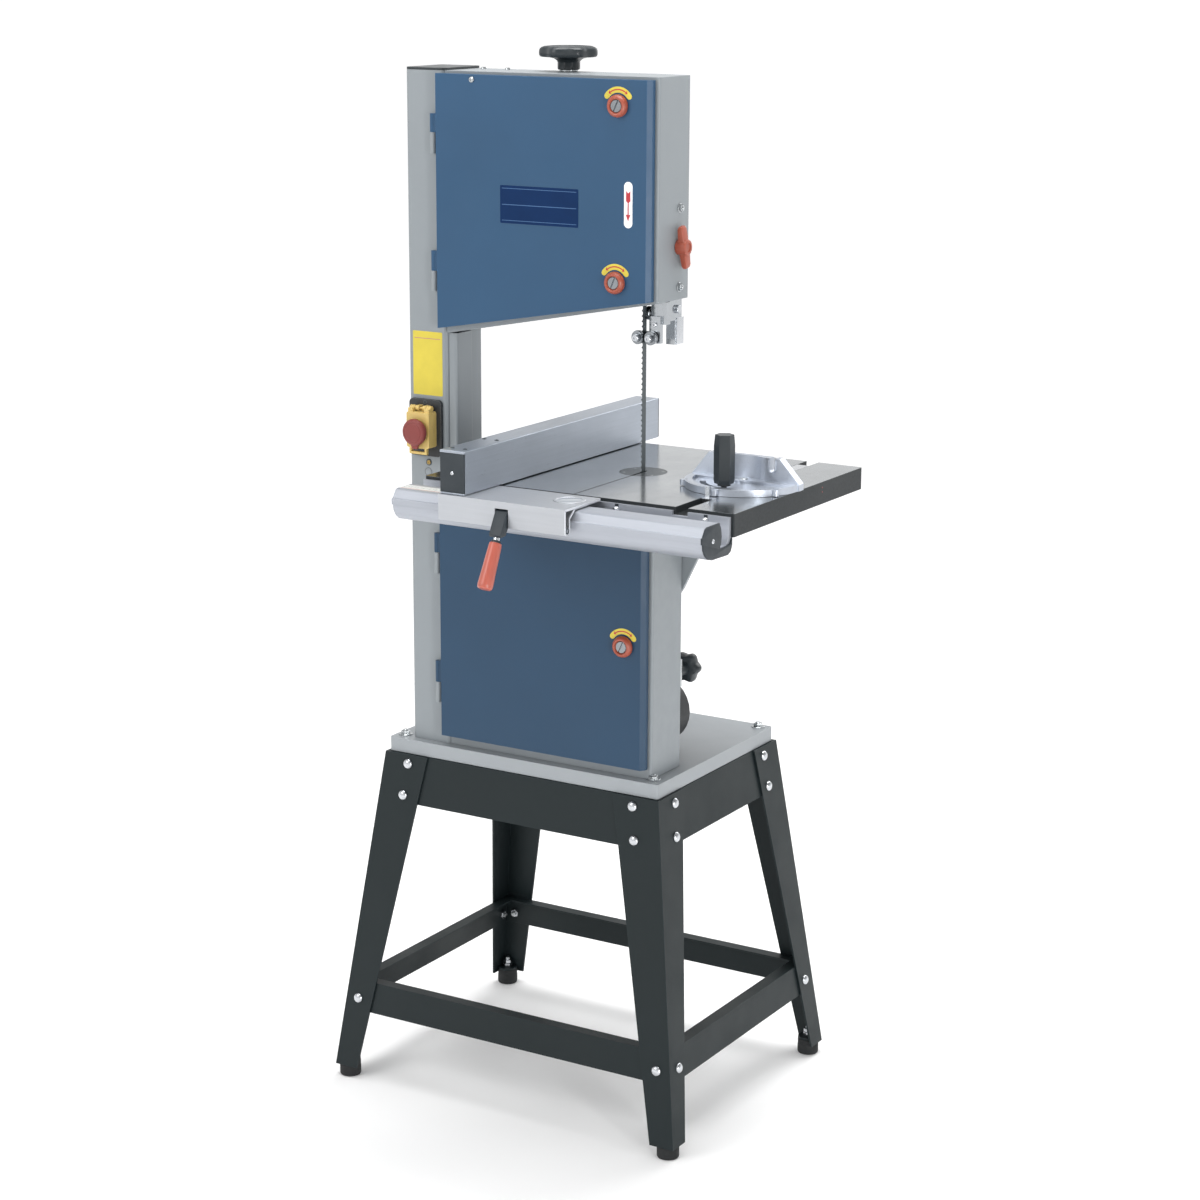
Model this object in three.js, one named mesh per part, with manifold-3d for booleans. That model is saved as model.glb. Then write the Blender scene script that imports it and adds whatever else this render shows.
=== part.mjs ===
// Floor-standing two-wheel band saw on an angle-iron stand.
// Millimetres, +Z up, +X to the right of the operator, the operator stands on the -Y side.
// Everything is laid out from the centre of the stand at floor level; the outer group then moves
// the machine so that the origin is the bottom centre of its bounding box.
import * as THREE from "three";
import { mergeVertices } from "three/addons/utils/BufferGeometryUtils.js";
import { ConvexGeometry } from "three/addons/geometries/ConvexGeometry.js";
import Module from "manifold-3d";

const wasm = await Module();
wasm.setup();

// ---------------------------------------------------------------- driving dimensions
const GAP = 0.3; // between touching pieces
// stand
const STAND_TOP = { x: 234.5, y: 178.8, z: 511.5 }; // outer corner of a leg at the top
const STAND_FOOT = { x: 296.3, y: 235.5, z: 17.8 }; // outer corner of a leg at the bottom
const LEG_T = 3; // leg sheet thickness
const LEG_FLANGE_TOP = 75; // width of the front flange at the top
const LEG_FLANGE_FOOT = 39;
const SIDE_FLANGE_TOP = 70;
const SIDE_FLANGE_FOOT = 35;
const APRON_Z0 = 438;
const STRETCHER_Z0 = 107.5;
const STRETCHER_Z1 = 154.5;
const FOOT = { x: 279.5, y: 220.5, h: 24.2 };
// machine base
const BASE = { x: 230.3, y: 173.6, z0: 512, z1: 533.5 };
// column
const COL = { x0: -199.2, x1: -131.3, y0: -157.7, y1: -65.4, t: 3, r: 7 };
// wheel housings
const HOUSE_BOTTOM = { x0: -131, x1: 210.5, y0: -156.9, y1: -73.9, z0: 533.8, z1: 872 };
const HOUSE_TOP = { x0: -131, x1: 214.1, y0: -157.7, y1: -72.4, z0l: 1143, z0r: 1208.8, z1: 1510.4 };
const SHEET = 2.5; // housing wall
const LIP = 15; // return lip round the door opening
// band wheels and blade
const WHEEL_X = 27.4;
const WHEEL_R = 152.1; // over the tyre
const LOWER_Z = 699;
const UPPER_Z = 1340;
const BLADE_R = 153; // centre of the band on the wheels
const BLADE_T = 0.65;
const BLADE_Y0 = -143.2;
const BLADE_Y1 = -130;
const BLADE_X = WHEEL_X + BLADE_R; // cutting run
// doors
const DOOR_Y0 = -172;
const DOOR_Y1 = -159.3;
const DOOR_T = 1.6;
const DOOR_X0 = -138;
const HINGE = { x: -147.8, y: -163.5, r: 4.6 };
// table
const TABLE = { x0: -59.6, x1: 422.9, y0: -319, y1: 58.2, z: 970.5, plate: 8, depth: 31 };
const SLOT = { x: 345.5, w: 19, d: 9.8 };
const TRUNNION_R = 72;
// fence
const FENCE = { x0: 28, x1: 67.3, y0: -409, y1: 103, z0: 971.4, z1: 1030.5 };
const CARRIAGE = { x0: 28, x1: 226, y0: -416 };
// mitre gauge
const MITRE = { x: 345.5, y: -150, r: 80, z: 970.8 };
// motor and belt
const MOTOR = { x: -58, z: 640 };
const PULLEY_R = 50;
const MOTOR_PULLEY_R = 24;
// the bounding box's bottom centre, in the layout above
const ORIGIN = { x: 65.6, y: -114.15, z: 0 };

// ---------------------------------------------------------------- solids
function solid(geometry) {
  const g = (geometry.index ? geometry.toNonIndexed() : geometry.clone());
  g.deleteAttribute("normal");
  g.deleteAttribute("uv");
  const m = mergeVertices(g, 1e-3);
  const make = (tri) =>
    new wasm.Manifold(new wasm.Mesh({ numProp: 3, vertProperties: m.attributes.position.array, triVerts: tri }));
  const tri = new Uint32Array(m.index.array);
  let s = make(tri);
  if (s.volume() < 0) {
    for (let i = 0; i < tri.length; i += 3) [tri[i + 1], tri[i + 2]] = [tri[i + 2], tri[i + 1]];
    s = make(tri);
  }
  return s;
}
function geometryOf(s) {
  const mesh = s.getMesh();
  const g = new THREE.BufferGeometry();
  const n = mesh.numProp;
  const p = new Float32Array((mesh.vertProperties.length / n) * 3);
  for (let i = 0; i < p.length / 3; i++) for (let k = 0; k < 3; k++) p[i * 3 + k] = mesh.vertProperties[i * n + k];
  g.setAttribute("position", new THREE.BufferAttribute(p, 3));
  g.setIndex(new THREE.BufferAttribute(new Uint32Array(mesh.triVerts), 1));
  return g;
}
const join = (...s) => s.reduce((a, b) => a.add(b));
const cut = (a, ...s) => s.reduce((p, b) => p.subtract(b), a);

const box = (x0, x1, y0, y1, z0, z1) => {
  const g = new THREE.BoxGeometry(x1 - x0, y1 - y0, z1 - z0);
  g.translate((x0 + x1) / 2, (y0 + y1) / 2, (z0 + z1) / 2);
  return solid(g);
};
// a cylinder along an axis, from a to b, centred on (u, v) in the other two axes taken in X, Y, Z order
function rod(axis, r, a, b, u, v, seg = 24, r2 = r) {
  const g = new THREE.CylinderGeometry(r2, r, b - a, seg); // grows along +Y
  if (axis === "z") g.rotateX(Math.PI / 2);
  if (axis === "x") g.rotateZ(-Math.PI / 2);
  const m = (a + b) / 2;
  if (axis === "x") g.translate(m, u, v);
  if (axis === "y") g.translate(u, m, v);
  if (axis === "z") g.translate(u, v, m);
  return solid(g);
}
// a turned piece: profile of [radius, distance along the axis]
function turned(axis, profile, u, v, seg = 24) {
  const g = new THREE.LatheGeometry(profile.map(([r, h]) => new THREE.Vector2(r, h)), seg);
  if (axis === "z") g.rotateX(Math.PI / 2);
  if (axis === "x") g.rotateZ(-Math.PI / 2);
  if (axis === "x") g.translate(0, u, v);
  if (axis === "y") g.translate(u, 0, v);
  if (axis === "z") g.translate(u, v, 0);
  return solid(g);
}
// an outline extruded along an axis: outline points are in the other two axes in X, Y, Z order
function prism(axis, outline, a, b, holes = []) {
  const path = (pts, ccw) => {
    const v = pts.map(([p, q]) => new THREE.Vector2(p, q));
    return THREE.ShapeUtils.isClockWise(v) === ccw ? v.reverse() : v;
  };
  const shape = new THREE.Shape(path(outline, true));
  for (const h of holes) shape.holes.push(new THREE.Path(path(h, false)));
  const g = new THREE.ExtrudeGeometry(shape, { depth: b - a, bevelEnabled: false, steps: 1 });
  const M = new THREE.Matrix4();
  if (axis === "x") M.set(0, 0, 1, a, 1, 0, 0, 0, 0, 1, 0, 0, 0, 0, 0, 1);
  if (axis === "y") M.set(1, 0, 0, 0, 0, 0, 1, a, 0, 1, 0, 0, 0, 0, 0, 1);
  if (axis === "z") M.set(1, 0, 0, 0, 0, 1, 0, 0, 0, 0, 1, a, 0, 0, 0, 1);
  g.applyMatrix4(M);
  return solid(g);
}
const hull = (...pts) => solid(new ConvexGeometry(pts.map((p) => new THREE.Vector3(...p))));
const turn = (s, axis, deg, px, py, pz) => {
  const v = [0, 0, 0];
  v["xyz".indexOf(axis)] = deg;
  return s.translate([-px, -py, -pz]).rotate(v).translate([px, py, pz]);
};
// points of an arc, angles in degrees
const arc = (cx, cy, r, a0, a1, n) =>
  Array.from({ length: n + 1 }, (_, i) => {
    const a = ((a0 + ((a1 - a0) * i) / n) * Math.PI) / 180;
    return [cx + r * Math.cos(a), cy + r * Math.sin(a)];
  });
// rounded rectangle; radii in the order (x0,y0), (x1,y0), (x1,y1), (x0,y1)
function roundRect(x0, x1, y0, y1, radii, n = 4) {
  const r = Array.isArray(radii) ? radii : [radii, radii, radii, radii];
  const out = [];
  const corner = (cx, cy, rr, a) => (rr > 0 ? out.push(...arc(cx, cy, rr, a, a + 90, n)) : out.push([cx, cy]));
  corner(x0 + r[0], y0 + r[0], r[0], 180);
  corner(x1 - r[1], y0 + r[1], r[1], 270);
  corner(x1 - r[2], y1 - r[2], r[2], 0);
  corner(x0 + r[3], y1 - r[3], r[3], 90);
  return out;
}
// a convex outline, anticlockwise, moved inwards by a distance for each edge
function inset(poly, d) {
  const n = poly.length;
  const lines = poly.map((p, i) => {
    const q = poly[(i + 1) % n];
    const dx = q[0] - p[0], dy = q[1] - p[1], l = Math.hypot(dx, dy);
    const nx = -dy / l, ny = dx / l;
    const k = Array.isArray(d) ? d[i] : d;
    return { p: [p[0] + nx * k, p[1] + ny * k], dir: [dx / l, dy / l] };
  });
  return lines.map((b, i) => {
    const a = lines[(i + n - 1) % n];
    const den = a.dir[0] * b.dir[1] - a.dir[1] * b.dir[0];
    const t = ((b.p[0] - a.p[0]) * b.dir[1] - (b.p[1] - a.p[1]) * b.dir[0]) / den;
    return [a.p[0] + a.dir[0] * t, a.p[1] + a.dir[1] * t];
  });
}
// lobed hand-knob outline
function lobes(cx, cy, r, depth, count, n, phase = 0) {
  return Array.from({ length: n }, (_, i) => {
    const a = (i / n) * Math.PI * 2;
    const k = r - depth * (0.5 - 0.5 * Math.cos(count * a + phase));
    return [cx + k * Math.cos(a), cy + k * Math.sin(a)];
  });
}

// ---------------------------------------------------------------- scene
const machine = new THREE.Group();
machine.position.set(-ORIGIN.x, -ORIGIN.y, -ORIGIN.z);
const sub = (parent = machine) => {
  const g = new THREE.Group();
  parent.add(g);
  return g;
};
const stand = sub(), body = sub(), drive = sub(), tableGroup = sub(), guides = sub(), controls = sub();

const paint = {
  stand: () => new THREE.MeshStandardMaterial({ color: 0x353c3f, roughness: 0.5, metalness: 0.2 }),
  grey: () => new THREE.MeshStandardMaterial({ color: 0xa6abaf, roughness: 0.45, metalness: 0.1 }),
  blue: () => new THREE.MeshStandardMaterial({ color: 0x3f6690, roughness: 0.4, metalness: 0.1 }),
  black: () => new THREE.MeshStandardMaterial({ color: 0x2a2d30, roughness: 0.5, metalness: 0 }),
  rubber: () => new THREE.MeshStandardMaterial({ color: 0x1d1f21, roughness: 0.85, metalness: 0 }),
  iron: () => new THREE.MeshStandardMaterial({ color: 0x8d9194, roughness: 0.35, metalness: 0.9 }),
  steel: () => new THREE.MeshStandardMaterial({ color: 0xb9bdc2, roughness: 0.3, metalness: 1 }),
  alu: () => new THREE.MeshStandardMaterial({ color: 0xc4c9d2, roughness: 0.38, metalness: 0.9 }),
  orange: () => new THREE.MeshStandardMaterial({ color: 0xcf5f47, roughness: 0.4, metalness: 0 }),
  yellow: () => new THREE.MeshStandardMaterial({ color: 0xdcb953, roughness: 0.45, metalness: 0 }),
  red: () => new THREE.MeshStandardMaterial({ color: 0xa53f43, roughness: 0.45, metalness: 0 }),
  green: () => new THREE.MeshStandardMaterial({ color: 0x2f8a4e, roughness: 0.45, metalness: 0 }),
  blade: () => new THREE.MeshStandardMaterial({ color: 0x4a4f52, roughness: 0.35, metalness: 0.9 }),
};
// a mesh whose own origin is at the given point
function place(group, name, s, material, at = [0, 0, 0]) {
  const g = geometryOf(s.translate([-at[0], -at[1], -at[2]])).toNonIndexed();
  g.computeVertexNormals();
  const mesh = new THREE.Mesh(g, material);
  mesh.name = name;
  mesh.position.set(...at);
  group.add(mesh);
  return mesh;
}
// a copy of a mesh's geometry under another name and place
function copy(group, name, mesh, material, at) {
  const m = new THREE.Mesh(mesh.geometry, material);
  m.name = name;
  m.position.set(...at);
  group.add(m);
  return m;
}

// ================================================================ STAND
const edge = (z) => {
  const t = (z - STAND_TOP.z) / (STAND_FOOT.z - STAND_TOP.z);
  return { x: STAND_TOP.x + (STAND_FOOT.x - STAND_TOP.x) * t, y: STAND_TOP.y + (STAND_FOOT.y - STAND_TOP.y) * t };
};
function leg(sx, sy) {
  const T = STAND_TOP, F = STAND_FOOT;
  const P = (x, y, z) => [sx * x, sy * y, z];
  const front = hull(
    P(T.x, T.y, T.z), P(T.x - LEG_FLANGE_TOP, T.y, T.z), P(T.x - LEG_FLANGE_TOP, T.y - LEG_T, T.z), P(T.x, T.y - LEG_T, T.z),
    P(F.x, F.y, F.z), P(F.x - LEG_FLANGE_FOOT, F.y, F.z), P(F.x - LEG_FLANGE_FOOT, F.y - LEG_T, F.z), P(F.x, F.y - LEG_T, F.z),
  );
  const side = hull(
    P(T.x, T.y, T.z), P(T.x, T.y - SIDE_FLANGE_TOP, T.z), P(T.x - LEG_T, T.y - SIDE_FLANGE_TOP, T.z), P(T.x - LEG_T, T.y, T.z),
    P(F.x, F.y, F.z), P(F.x, F.y - SIDE_FLANGE_FOOT, F.z), P(F.x - LEG_T, F.y - SIDE_FLANGE_FOOT, F.z), P(F.x - LEG_T, F.y, F.z),
  );
  // round-ended sole plate in the corner, on top of the foot
  const sole = join(
    rod("z", 15.5, FOOT.h + GAP, FOOT.h + GAP + 3, FOOT.x, FOOT.y, 24),
    box(FOOT.x - 2, 300, FOOT.y - 2, 260, FOOT.h + GAP, FOOT.h + GAP + 3),
  ).intersect(box(200, 294.2, 150, 233.6, 0, 60)).scale([sx, sy, 1]);
  const stud = rod("z", 4.5, F.z - 5, FOOT.h + 8, sx * FOOT.x, sy * FOOT.y, 16);
  return cut(join(front, side, sole), stud);
}
const CORNERS = [["front_left", -1, -1], ["front_right", 1, -1], ["back_right", 1, 1], ["back_left", -1, 1]];
for (const [n, sx, sy] of CORNERS) place(stand, "stand_leg_" + n, leg(sx, sy), paint.stand(), [sx * STAND_TOP.x, sy * STAND_TOP.y, STAND_TOP.z]);

// aprons: flat sheet inside the leg flanges, with a flange folded in at the top
const inner = LEG_T + GAP;
function apronLong(sy) {
  const a = edge(511.5), b = edge(APRON_Z0);
  const y = (e, d) => sy * (e.y - inner - d);
  const x = (e) => e.x - inner;
  const plate = hull(
    [x(a), y(a, 0), 511.5], [-x(a), y(a, 0), 511.5], [x(a), y(a, 2.5), 511.5], [-x(a), y(a, 2.5), 511.5],
    [x(b), y(b, 0), APRON_Z0], [-x(b), y(b, 0), APRON_Z0], [x(b), y(b, 2.5), APRON_Z0], [-x(b), y(b, 2.5), APRON_Z0],
  );
  const y0 = Math.min(sy * (a.y - inner - 0.5), sy * (a.y - inner - 28)), y1 = Math.max(sy * (a.y - inner - 0.5), sy * (a.y - inner - 28));
  return join(plate, box(-x(a) + 0.5, x(a) - 0.5, y0, y1, 509, 511.5));
}
function apronSide(sx) {
  const a = edge(511.5), b = edge(APRON_Z0);
  const x = (e, d) => sx * (e.x - inner - d);
  const y = (e) => e.y - inner - 2.5 - GAP;
  const plate = hull(
    [x(a, 0), y(a), 511.5], [x(a, 0), -y(a), 511.5], [x(a, 2.5), y(a), 511.5], [x(a, 2.5), -y(a), 511.5],
    [x(b, 0), y(a), APRON_Z0], [x(b, 0), -y(a), APRON_Z0], [x(b, 2.5), y(a), APRON_Z0], [x(b, 2.5), -y(a), APRON_Z0],
  );
  const x0 = Math.min(sx * (a.x - inner - 0.5), sx * (a.x - inner - 28)), x1 = Math.max(sx * (a.x - inner - 0.5), sx * (a.x - inner - 28));
  const corner = a.y - inner - 28 - GAP;
  const notch = (s) => box(sx > 0 ? x0 - 1 : x0 - 1, x1 + 1, s > 0 ? corner : -200, s > 0 ? 200 : -corner, 508.7, 512);
  return cut(join(plate, box(x0, x1, -corner + 0.1, corner - 0.1, 509, 511.5)), notch(1), notch(-1));
}
place(stand, "apron_front", apronLong(-1), paint.stand(), [0, -170, 475]);
place(stand, "apron_back", apronLong(1), paint.stand(), [0, 170, 475]);
place(stand, "apron_left", apronSide(-1), paint.stand(), [-226, 0, 475]);
place(stand, "apron_right", apronSide(1), paint.stand(), [226, 0, 475]);

// stretchers: angle bar, one flange on the legs and one folded in at the top
function stretcherLong(sy) {
  const a = edge(STRETCHER_Z1), b = edge(STRETCHER_Z0);
  const y = (e, d) => sy * (e.y - inner - d);
  const x = (e) => e.x - inner;
  const plate = hull(
    [x(a), y(a, 0), STRETCHER_Z1], [-x(a), y(a, 0), STRETCHER_Z1], [x(a), y(a, 2.5), STRETCHER_Z1], [-x(a), y(a, 2.5), STRETCHER_Z1],
    [x(b), y(b, 0), STRETCHER_Z0], [-x(b), y(b, 0), STRETCHER_Z0], [x(b), y(b, 2.5), STRETCHER_Z0], [-x(b), y(b, 2.5), STRETCHER_Z0],
  );
  const ya = sy * (a.y - inner - 0.5), yb = sy * (a.y - inner - 19);
  return join(plate, box(-x(a) + 0.5, x(a) - 0.5, Math.min(ya, yb), Math.max(ya, yb), STRETCHER_Z1 - 2.5, STRETCHER_Z1));
}
function stretcherSide(sx) {
  const a = edge(STRETCHER_Z1), b = edge(STRETCHER_Z0);
  const x = (e, d) => sx * (e.x - inner - d);
  const y = a.y - inner - 2.5 - GAP;
  const plate = hull(
    [x(a, 0), y, STRETCHER_Z1], [x(a, 0), -y, STRETCHER_Z1], [x(a, 2.5), y, STRETCHER_Z1], [x(a, 2.5), -y, STRETCHER_Z1],
    [x(b, 0), y, STRETCHER_Z0], [x(b, 0), -y, STRETCHER_Z0], [x(b, 2.5), y, STRETCHER_Z0], [x(b, 2.5), -y, STRETCHER_Z0],
  );
  const corner = a.y - inner - 19 - GAP;
  const xa = sx * (a.x - inner - 0.5), xb = sx * (a.x - inner - 19);
  const x0 = Math.min(xa, xb), x1 = Math.max(xa, xb);
  const notch = (s) => box(x0 - 8, x1 + 8, s > 0 ? corner : -300, s > 0 ? 300 : -corner, STRETCHER_Z1 - 2.8, STRETCHER_Z1 + 1);
  return cut(join(plate, box(x0, x1, -corner + 0.1, corner - 0.1, STRETCHER_Z1 - 2.5, STRETCHER_Z1)), notch(1), notch(-1));
}
place(stand, "stretcher_front", stretcherLong(-1), paint.stand(), [0, -220, 131]);
place(stand, "stretcher_back", stretcherLong(1), paint.stand(), [0, 220, 131]);
place(stand, "stretcher_left", stretcherSide(-1), paint.stand(), [-280, 0, 131]);
place(stand, "stretcher_right", stretcherSide(1), paint.stand(), [280, 0, 131]);

// feet: tall rubber pad that nests in the corner of the leg, with a stud and two nuts on the sole plate
function foot(sx, sy) {
  const f = edge(FOOT.h);
  const corner = (z0, z1) => box(200, f.x - inner, 150, f.y - inner, z0, z1);
  return join(
    turned("z", [[0, 0], [15, 0], [16.2, 1.5], [16.2, STAND_FOOT.z - GAP], [0, STAND_FOOT.z - GAP]], FOOT.x, FOOT.y, 20),
    rod("z", 16, STAND_FOOT.z - 1, FOOT.h, FOOT.x, FOOT.y, 20).intersect(corner(0, 60)),
    turned("z", [[0, 20], [4.1, 20], [4.1, FOOT.h + 3.6], [7, FOOT.h + 3.6], [7, FOOT.h + 9.2], [6, FOOT.h + 9.6], [7, FOOT.h + 10], [7, FOOT.h + 15.4], [4.1, FOOT.h + 15.6], [4.1, FOOT.h + 20], [0, FOOT.h + 20]], FOOT.x, FOOT.y, 12),
  ).scale([sx, sy, 1]);
}
for (const [n, sx, sy] of CORNERS) place(stand, "foot_" + n, foot(sx, sy), paint.rubber(), [sx * FOOT.x, sy * FOOT.y, 0]);

// ================================================================ BODY
// base: folded pan, open below, with a rim that rests on the stand
place(body, "base_plate", (() => {
  const pan = prism("z", roundRect(-BASE.x, BASE.x, -BASE.y, BASE.y, 4, 3), BASE.z0, BASE.z1);
  return cut(pan,
    box(-BASE.x + 3, BASE.x - 3, -BASE.y + 3, BASE.y - 3, BASE.z0 + 3, BASE.z1 - 4),
    box(-BASE.x + 36, BASE.x - 36, -BASE.y + 36, BASE.y - 36, BASE.z0 - 1, BASE.z0 + 4));
})(), paint.grey(), [0, 0, BASE.z1]);

// column: rectangular tube with the lower knuckles and pins of the lift-off hinges
const HINGES = [[1395.8, 1424.9, 1425.3, 1451.2], [1203, 1231.3, 1231.7, 1259.8], [791.3, 822.5, 822.9, 851], [597.2, 627.6, 628, 659.8]];
place(body, "column", (() => {
  let c = cut(prism("z", roundRect(COL.x0, COL.x1, COL.y0, COL.y1, COL.r, 4), BASE.z1 + GAP, HOUSE_TOP.z1 - GAP),
    prism("z", roundRect(COL.x0 + COL.t, COL.x1 - COL.t, COL.y0 + COL.t, COL.y1 - COL.t, COL.r - COL.t, 3), 500, 1600));
  for (const [a, b, , d] of HINGES)
    c = join(c, rod("z", HINGE.r, a, b, HINGE.x, HINGE.y, 16), rod("z", 2.2, b - 1, d - 7, HINGE.x, HINGE.y, 10),
      box(HINGE.x - 3.2, HINGE.x + 3.2, HINGE.y, COL.y0 + 1, a, b));
  return c;
})(), paint.grey(), [(COL.x0 + COL.x1) / 2, (COL.y0 + COL.y1) / 2, BASE.z1]);
place(body, "column_cap", join(
  prism("z", roundRect(COL.x0, COL.x1, COL.y0, COL.y1, COL.r, 4), HOUSE_TOP.z1, HOUSE_TOP.z1 + 3.2),
  prism("z", roundRect(COL.x0 + COL.t + 0.5, COL.x1 - COL.t - 0.5, COL.y0 + COL.t + 0.5, COL.y1 - COL.t - 0.5, 3.4, 3), HOUSE_TOP.z1 - 12, HOUSE_TOP.z1 + 0.5),
), paint.black(), [(COL.x0 + COL.x1) / 2, (COL.y0 + COL.y1) / 2, HOUSE_TOP.z1]);

// a sheet-metal housing, open at the front behind its return lip
function housing(outline, y0, y1, x0, x1) {
  const shell = prism("y", outline, y0, y1).intersect(prism("z", roundRect(x0, x1, y0, y1, [0, 4, 4, 0], 4), 400, 1700));
  return cut(shell, prism("y", inset(outline, SHEET), y0 + SHEET, y1 - SHEET), prism("y", inset(outline, [LIP, LIP, LIP, SHEET + 6]), y0 - 5, y0 + 6));
}
const lowOutline = [[HOUSE_BOTTOM.x0, HOUSE_BOTTOM.z0], [HOUSE_BOTTOM.x1, HOUSE_BOTTOM.z0], [HOUSE_BOTTOM.x1, HOUSE_BOTTOM.z1], [HOUSE_BOTTOM.x0, HOUSE_BOTTOM.z1]];
const DUST = { x: 134, z: 591, r: 50 };
const KNOB_BACK = { x: 196, z: 669 };
place(body, "lower_wheel_housing", (() => {
  let h = housing(lowOutline, HOUSE_BOTTOM.y0, HOUSE_BOTTOM.y1, HOUSE_BOTTOM.x0, HOUSE_BOTTOM.x1);
  // dust outlet for a hose of 100 mm bore
  h = join(h, rod("y", DUST.r, HOUSE_BOTTOM.y1 - 1, 0, DUST.x, DUST.z, 28), rod("y", DUST.r + 6.5, HOUSE_BOTTOM.y1 - 1, HOUSE_BOTTOM.y1 + 3, DUST.x, DUST.z, 28));
  h = cut(h, rod("y", DUST.r - 3, HOUSE_BOTTOM.y1 - 6, 5, DUST.x, DUST.z, 28));
  // bearing, motor shaft and clamp stud holes in the back wall
  h = cut(h, rod("y", 12.6, -80, -60, WHEEL_X, LOWER_Z, 24), rod("y", 14, -80, -60, MOTOR.x, MOTOR.z, 24), rod("y", 4.6, -80, -60, KNOB_BACK.x, KNOB_BACK.z, 12));
  // slots for the two runs of the blade
  h = cut(h, box(BLADE_X - 7, BLADE_X + 7, -146, -122, 860, 880), box(-128.5, -121, -146, -124, 860, 880));
  return h;
})(), paint.grey(), [HOUSE_BOTTOM.x1, HOUSE_BOTTOM.y0, HOUSE_BOTTOM.z0]);

const topOutline = [[HOUSE_TOP.x0, HOUSE_TOP.z0l], [HOUSE_TOP.x1, HOUSE_TOP.z0r], [HOUSE_TOP.x1, HOUSE_TOP.z1], [HOUSE_TOP.x0, HOUSE_TOP.z1]];
const KNOB_TOP = { x: WHEEL_X, y: -86 };
const LOCK = { y: -104, z: 1281 };
const TRACK_Z = 1308;
place(body, "upper_wheel_housing", (() => {
  let h = housing(topOutline, HOUSE_TOP.y0, HOUSE_TOP.y1, HOUSE_TOP.x0, HOUSE_TOP.x1);
  const wall = HOUSE_TOP.y1 - SHEET;
  // ways of the tension slide, and ways of the guide post
  h = join(h, box(-14, -6.2, -86, wall + 1, 1282, 1424), box(61, 68.8, -86, wall + 1, 1282, 1424),
    box(197, HOUSE_TOP.x1 - 1, -121.5, -118.2, 1217, 1345), box(197, HOUSE_TOP.x1 - 1, -82.3, -79, 1217, 1345));
  h = cut(h,
    rod("z", 6.6, 1490, 1520, KNOB_TOP.x, KNOB_TOP.y, 20), // tension screw
    box(WHEEL_X - 6, WHEEL_X + 6, -80, -60, TRACK_Z - 19, TRACK_Z + 6), // tracking screw travels with the slide
    rod("x", 5.6, 205, 220, LOCK.y, LOCK.z, 16), // guide lock screw
    box(156, 211.3, -147, -80.6, 1150, 1216.5), // blade and guide post pass the floor
    box(-128.5, -121, -146, -124, 1130, 1160));
  return h;
})(), paint.grey(), [HOUSE_TOP.x1, HOUSE_TOP.y0, HOUSE_TOP.z0r]);

// channel that covers the blade's return run beside the column
place(body, "blade_return_guard", (() => {
  const o = roundRect(COL.x1 + GAP, -117.6, -153.3, -113.1, [0, 5, 3, 0], 4);
  const i = roundRect(COL.x1 + GAP - 5, -119.1, -151.8, -114.6, [0, 3.5, 1.5, 0], 3);
  return cut(prism("z", o, HOUSE_BOTTOM.z1 + GAP, HOUSE_TOP.z0l - GAP), prism("z", i, 800, 1200));
})(), paint.grey(), [-117.6, -153.3, 1000]);

// doors: folded pans with the upper hinge knuckles
function door(outline, knuckles, latchHoles, edgeX) {
  const bevel = (k) => prism("z", [[edgeX - 6.2 - k, DOOR_Y0 - 1], [edgeX + 2, DOOR_Y0 - 1], [edgeX + 2, DOOR_Y0 + 6.2 + k + 1], [edgeX, DOOR_Y0 + 6.2 + k], [edgeX - 6.2 - k, DOOR_Y0]], 400, 1700);
  const skin = cut(prism("y", outline, DOOR_Y0, DOOR_Y1), bevel(0));
  const room = cut(prism("y", inset(outline, DOOR_T), DOOR_Y0 + DOOR_T, DOOR_Y1 + 5), bevel(DOOR_T * 1.3));
  let d = cut(skin, room);
  for (const [, , a, b] of knuckles)
    d = join(d, rod("z", HINGE.r, a, b, HINGE.x, HINGE.y, 16), box(HINGE.x, DOOR_X0 + 1, HINGE.y - 3.6, HINGE.y - 1.4, a, b));
  for (const [, , a, b] of knuckles) d = cut(d, rod("z", 2.6, a - 1, b - 5, HINGE.x, HINGE.y, 10));
  for (const [x, z] of latchHoles) d = cut(d, rod("y", 8.5, DOOR_Y0 - 2, DOOR_Y0 + 4, x, z, 20));
  return d;
}
const LATCHES = { upper_door_latch_top: [158.9, 1472], upper_door_latch_bottom: [155.7, 1235.2], lower_door_latch: [171.8, 727] };
place(body, "upper_door", door([[DOOR_X0, 1151], [208.5, 1211.5], [208.5, 1506.8], [DOOR_X0, 1506.8]], HINGES.slice(0, 2), [LATCHES.upper_door_latch_top, LATCHES.upper_door_latch_bottom], 208.5),
  paint.blue(), [HINGE.x, HINGE.y, 1330]);
place(body, "lower_door", door([[DOOR_X0, 549], [205, 549], [205, 868], [DOOR_X0, 868]], HINGES.slice(2), [LATCHES.lower_door_latch], 205),
  paint.blue(), [HINGE.x, HINGE.y, 705]);
// quarter-turn latches: knob, spindle and the tongue that swings behind the lip
const latchKnob = (tongue) => join(
  turned("y", [[0, -178.5], [8.4, -178.5], [8.9, -180.3], [11.2, -181.6], [14.4, -179.6], [15.2, -174], [15, DOOR_Y0 - GAP], [8, DOOR_Y0 - GAP], [8, -151], [0, -151]], 0, 0, 18),
  tongue === "left" ? box(-31, 4, -154, -151.2, -6, 6) : box(-6, 6, -154, -151.2, -4, 31),
);
for (const [n, [x, z]] of Object.entries(LATCHES)) {
  const m = place(body, n, latchKnob(n === "lower_door_latch" ? "up" : "left"), paint.orange());
  m.position.set(x, 0, z);
}

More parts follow.
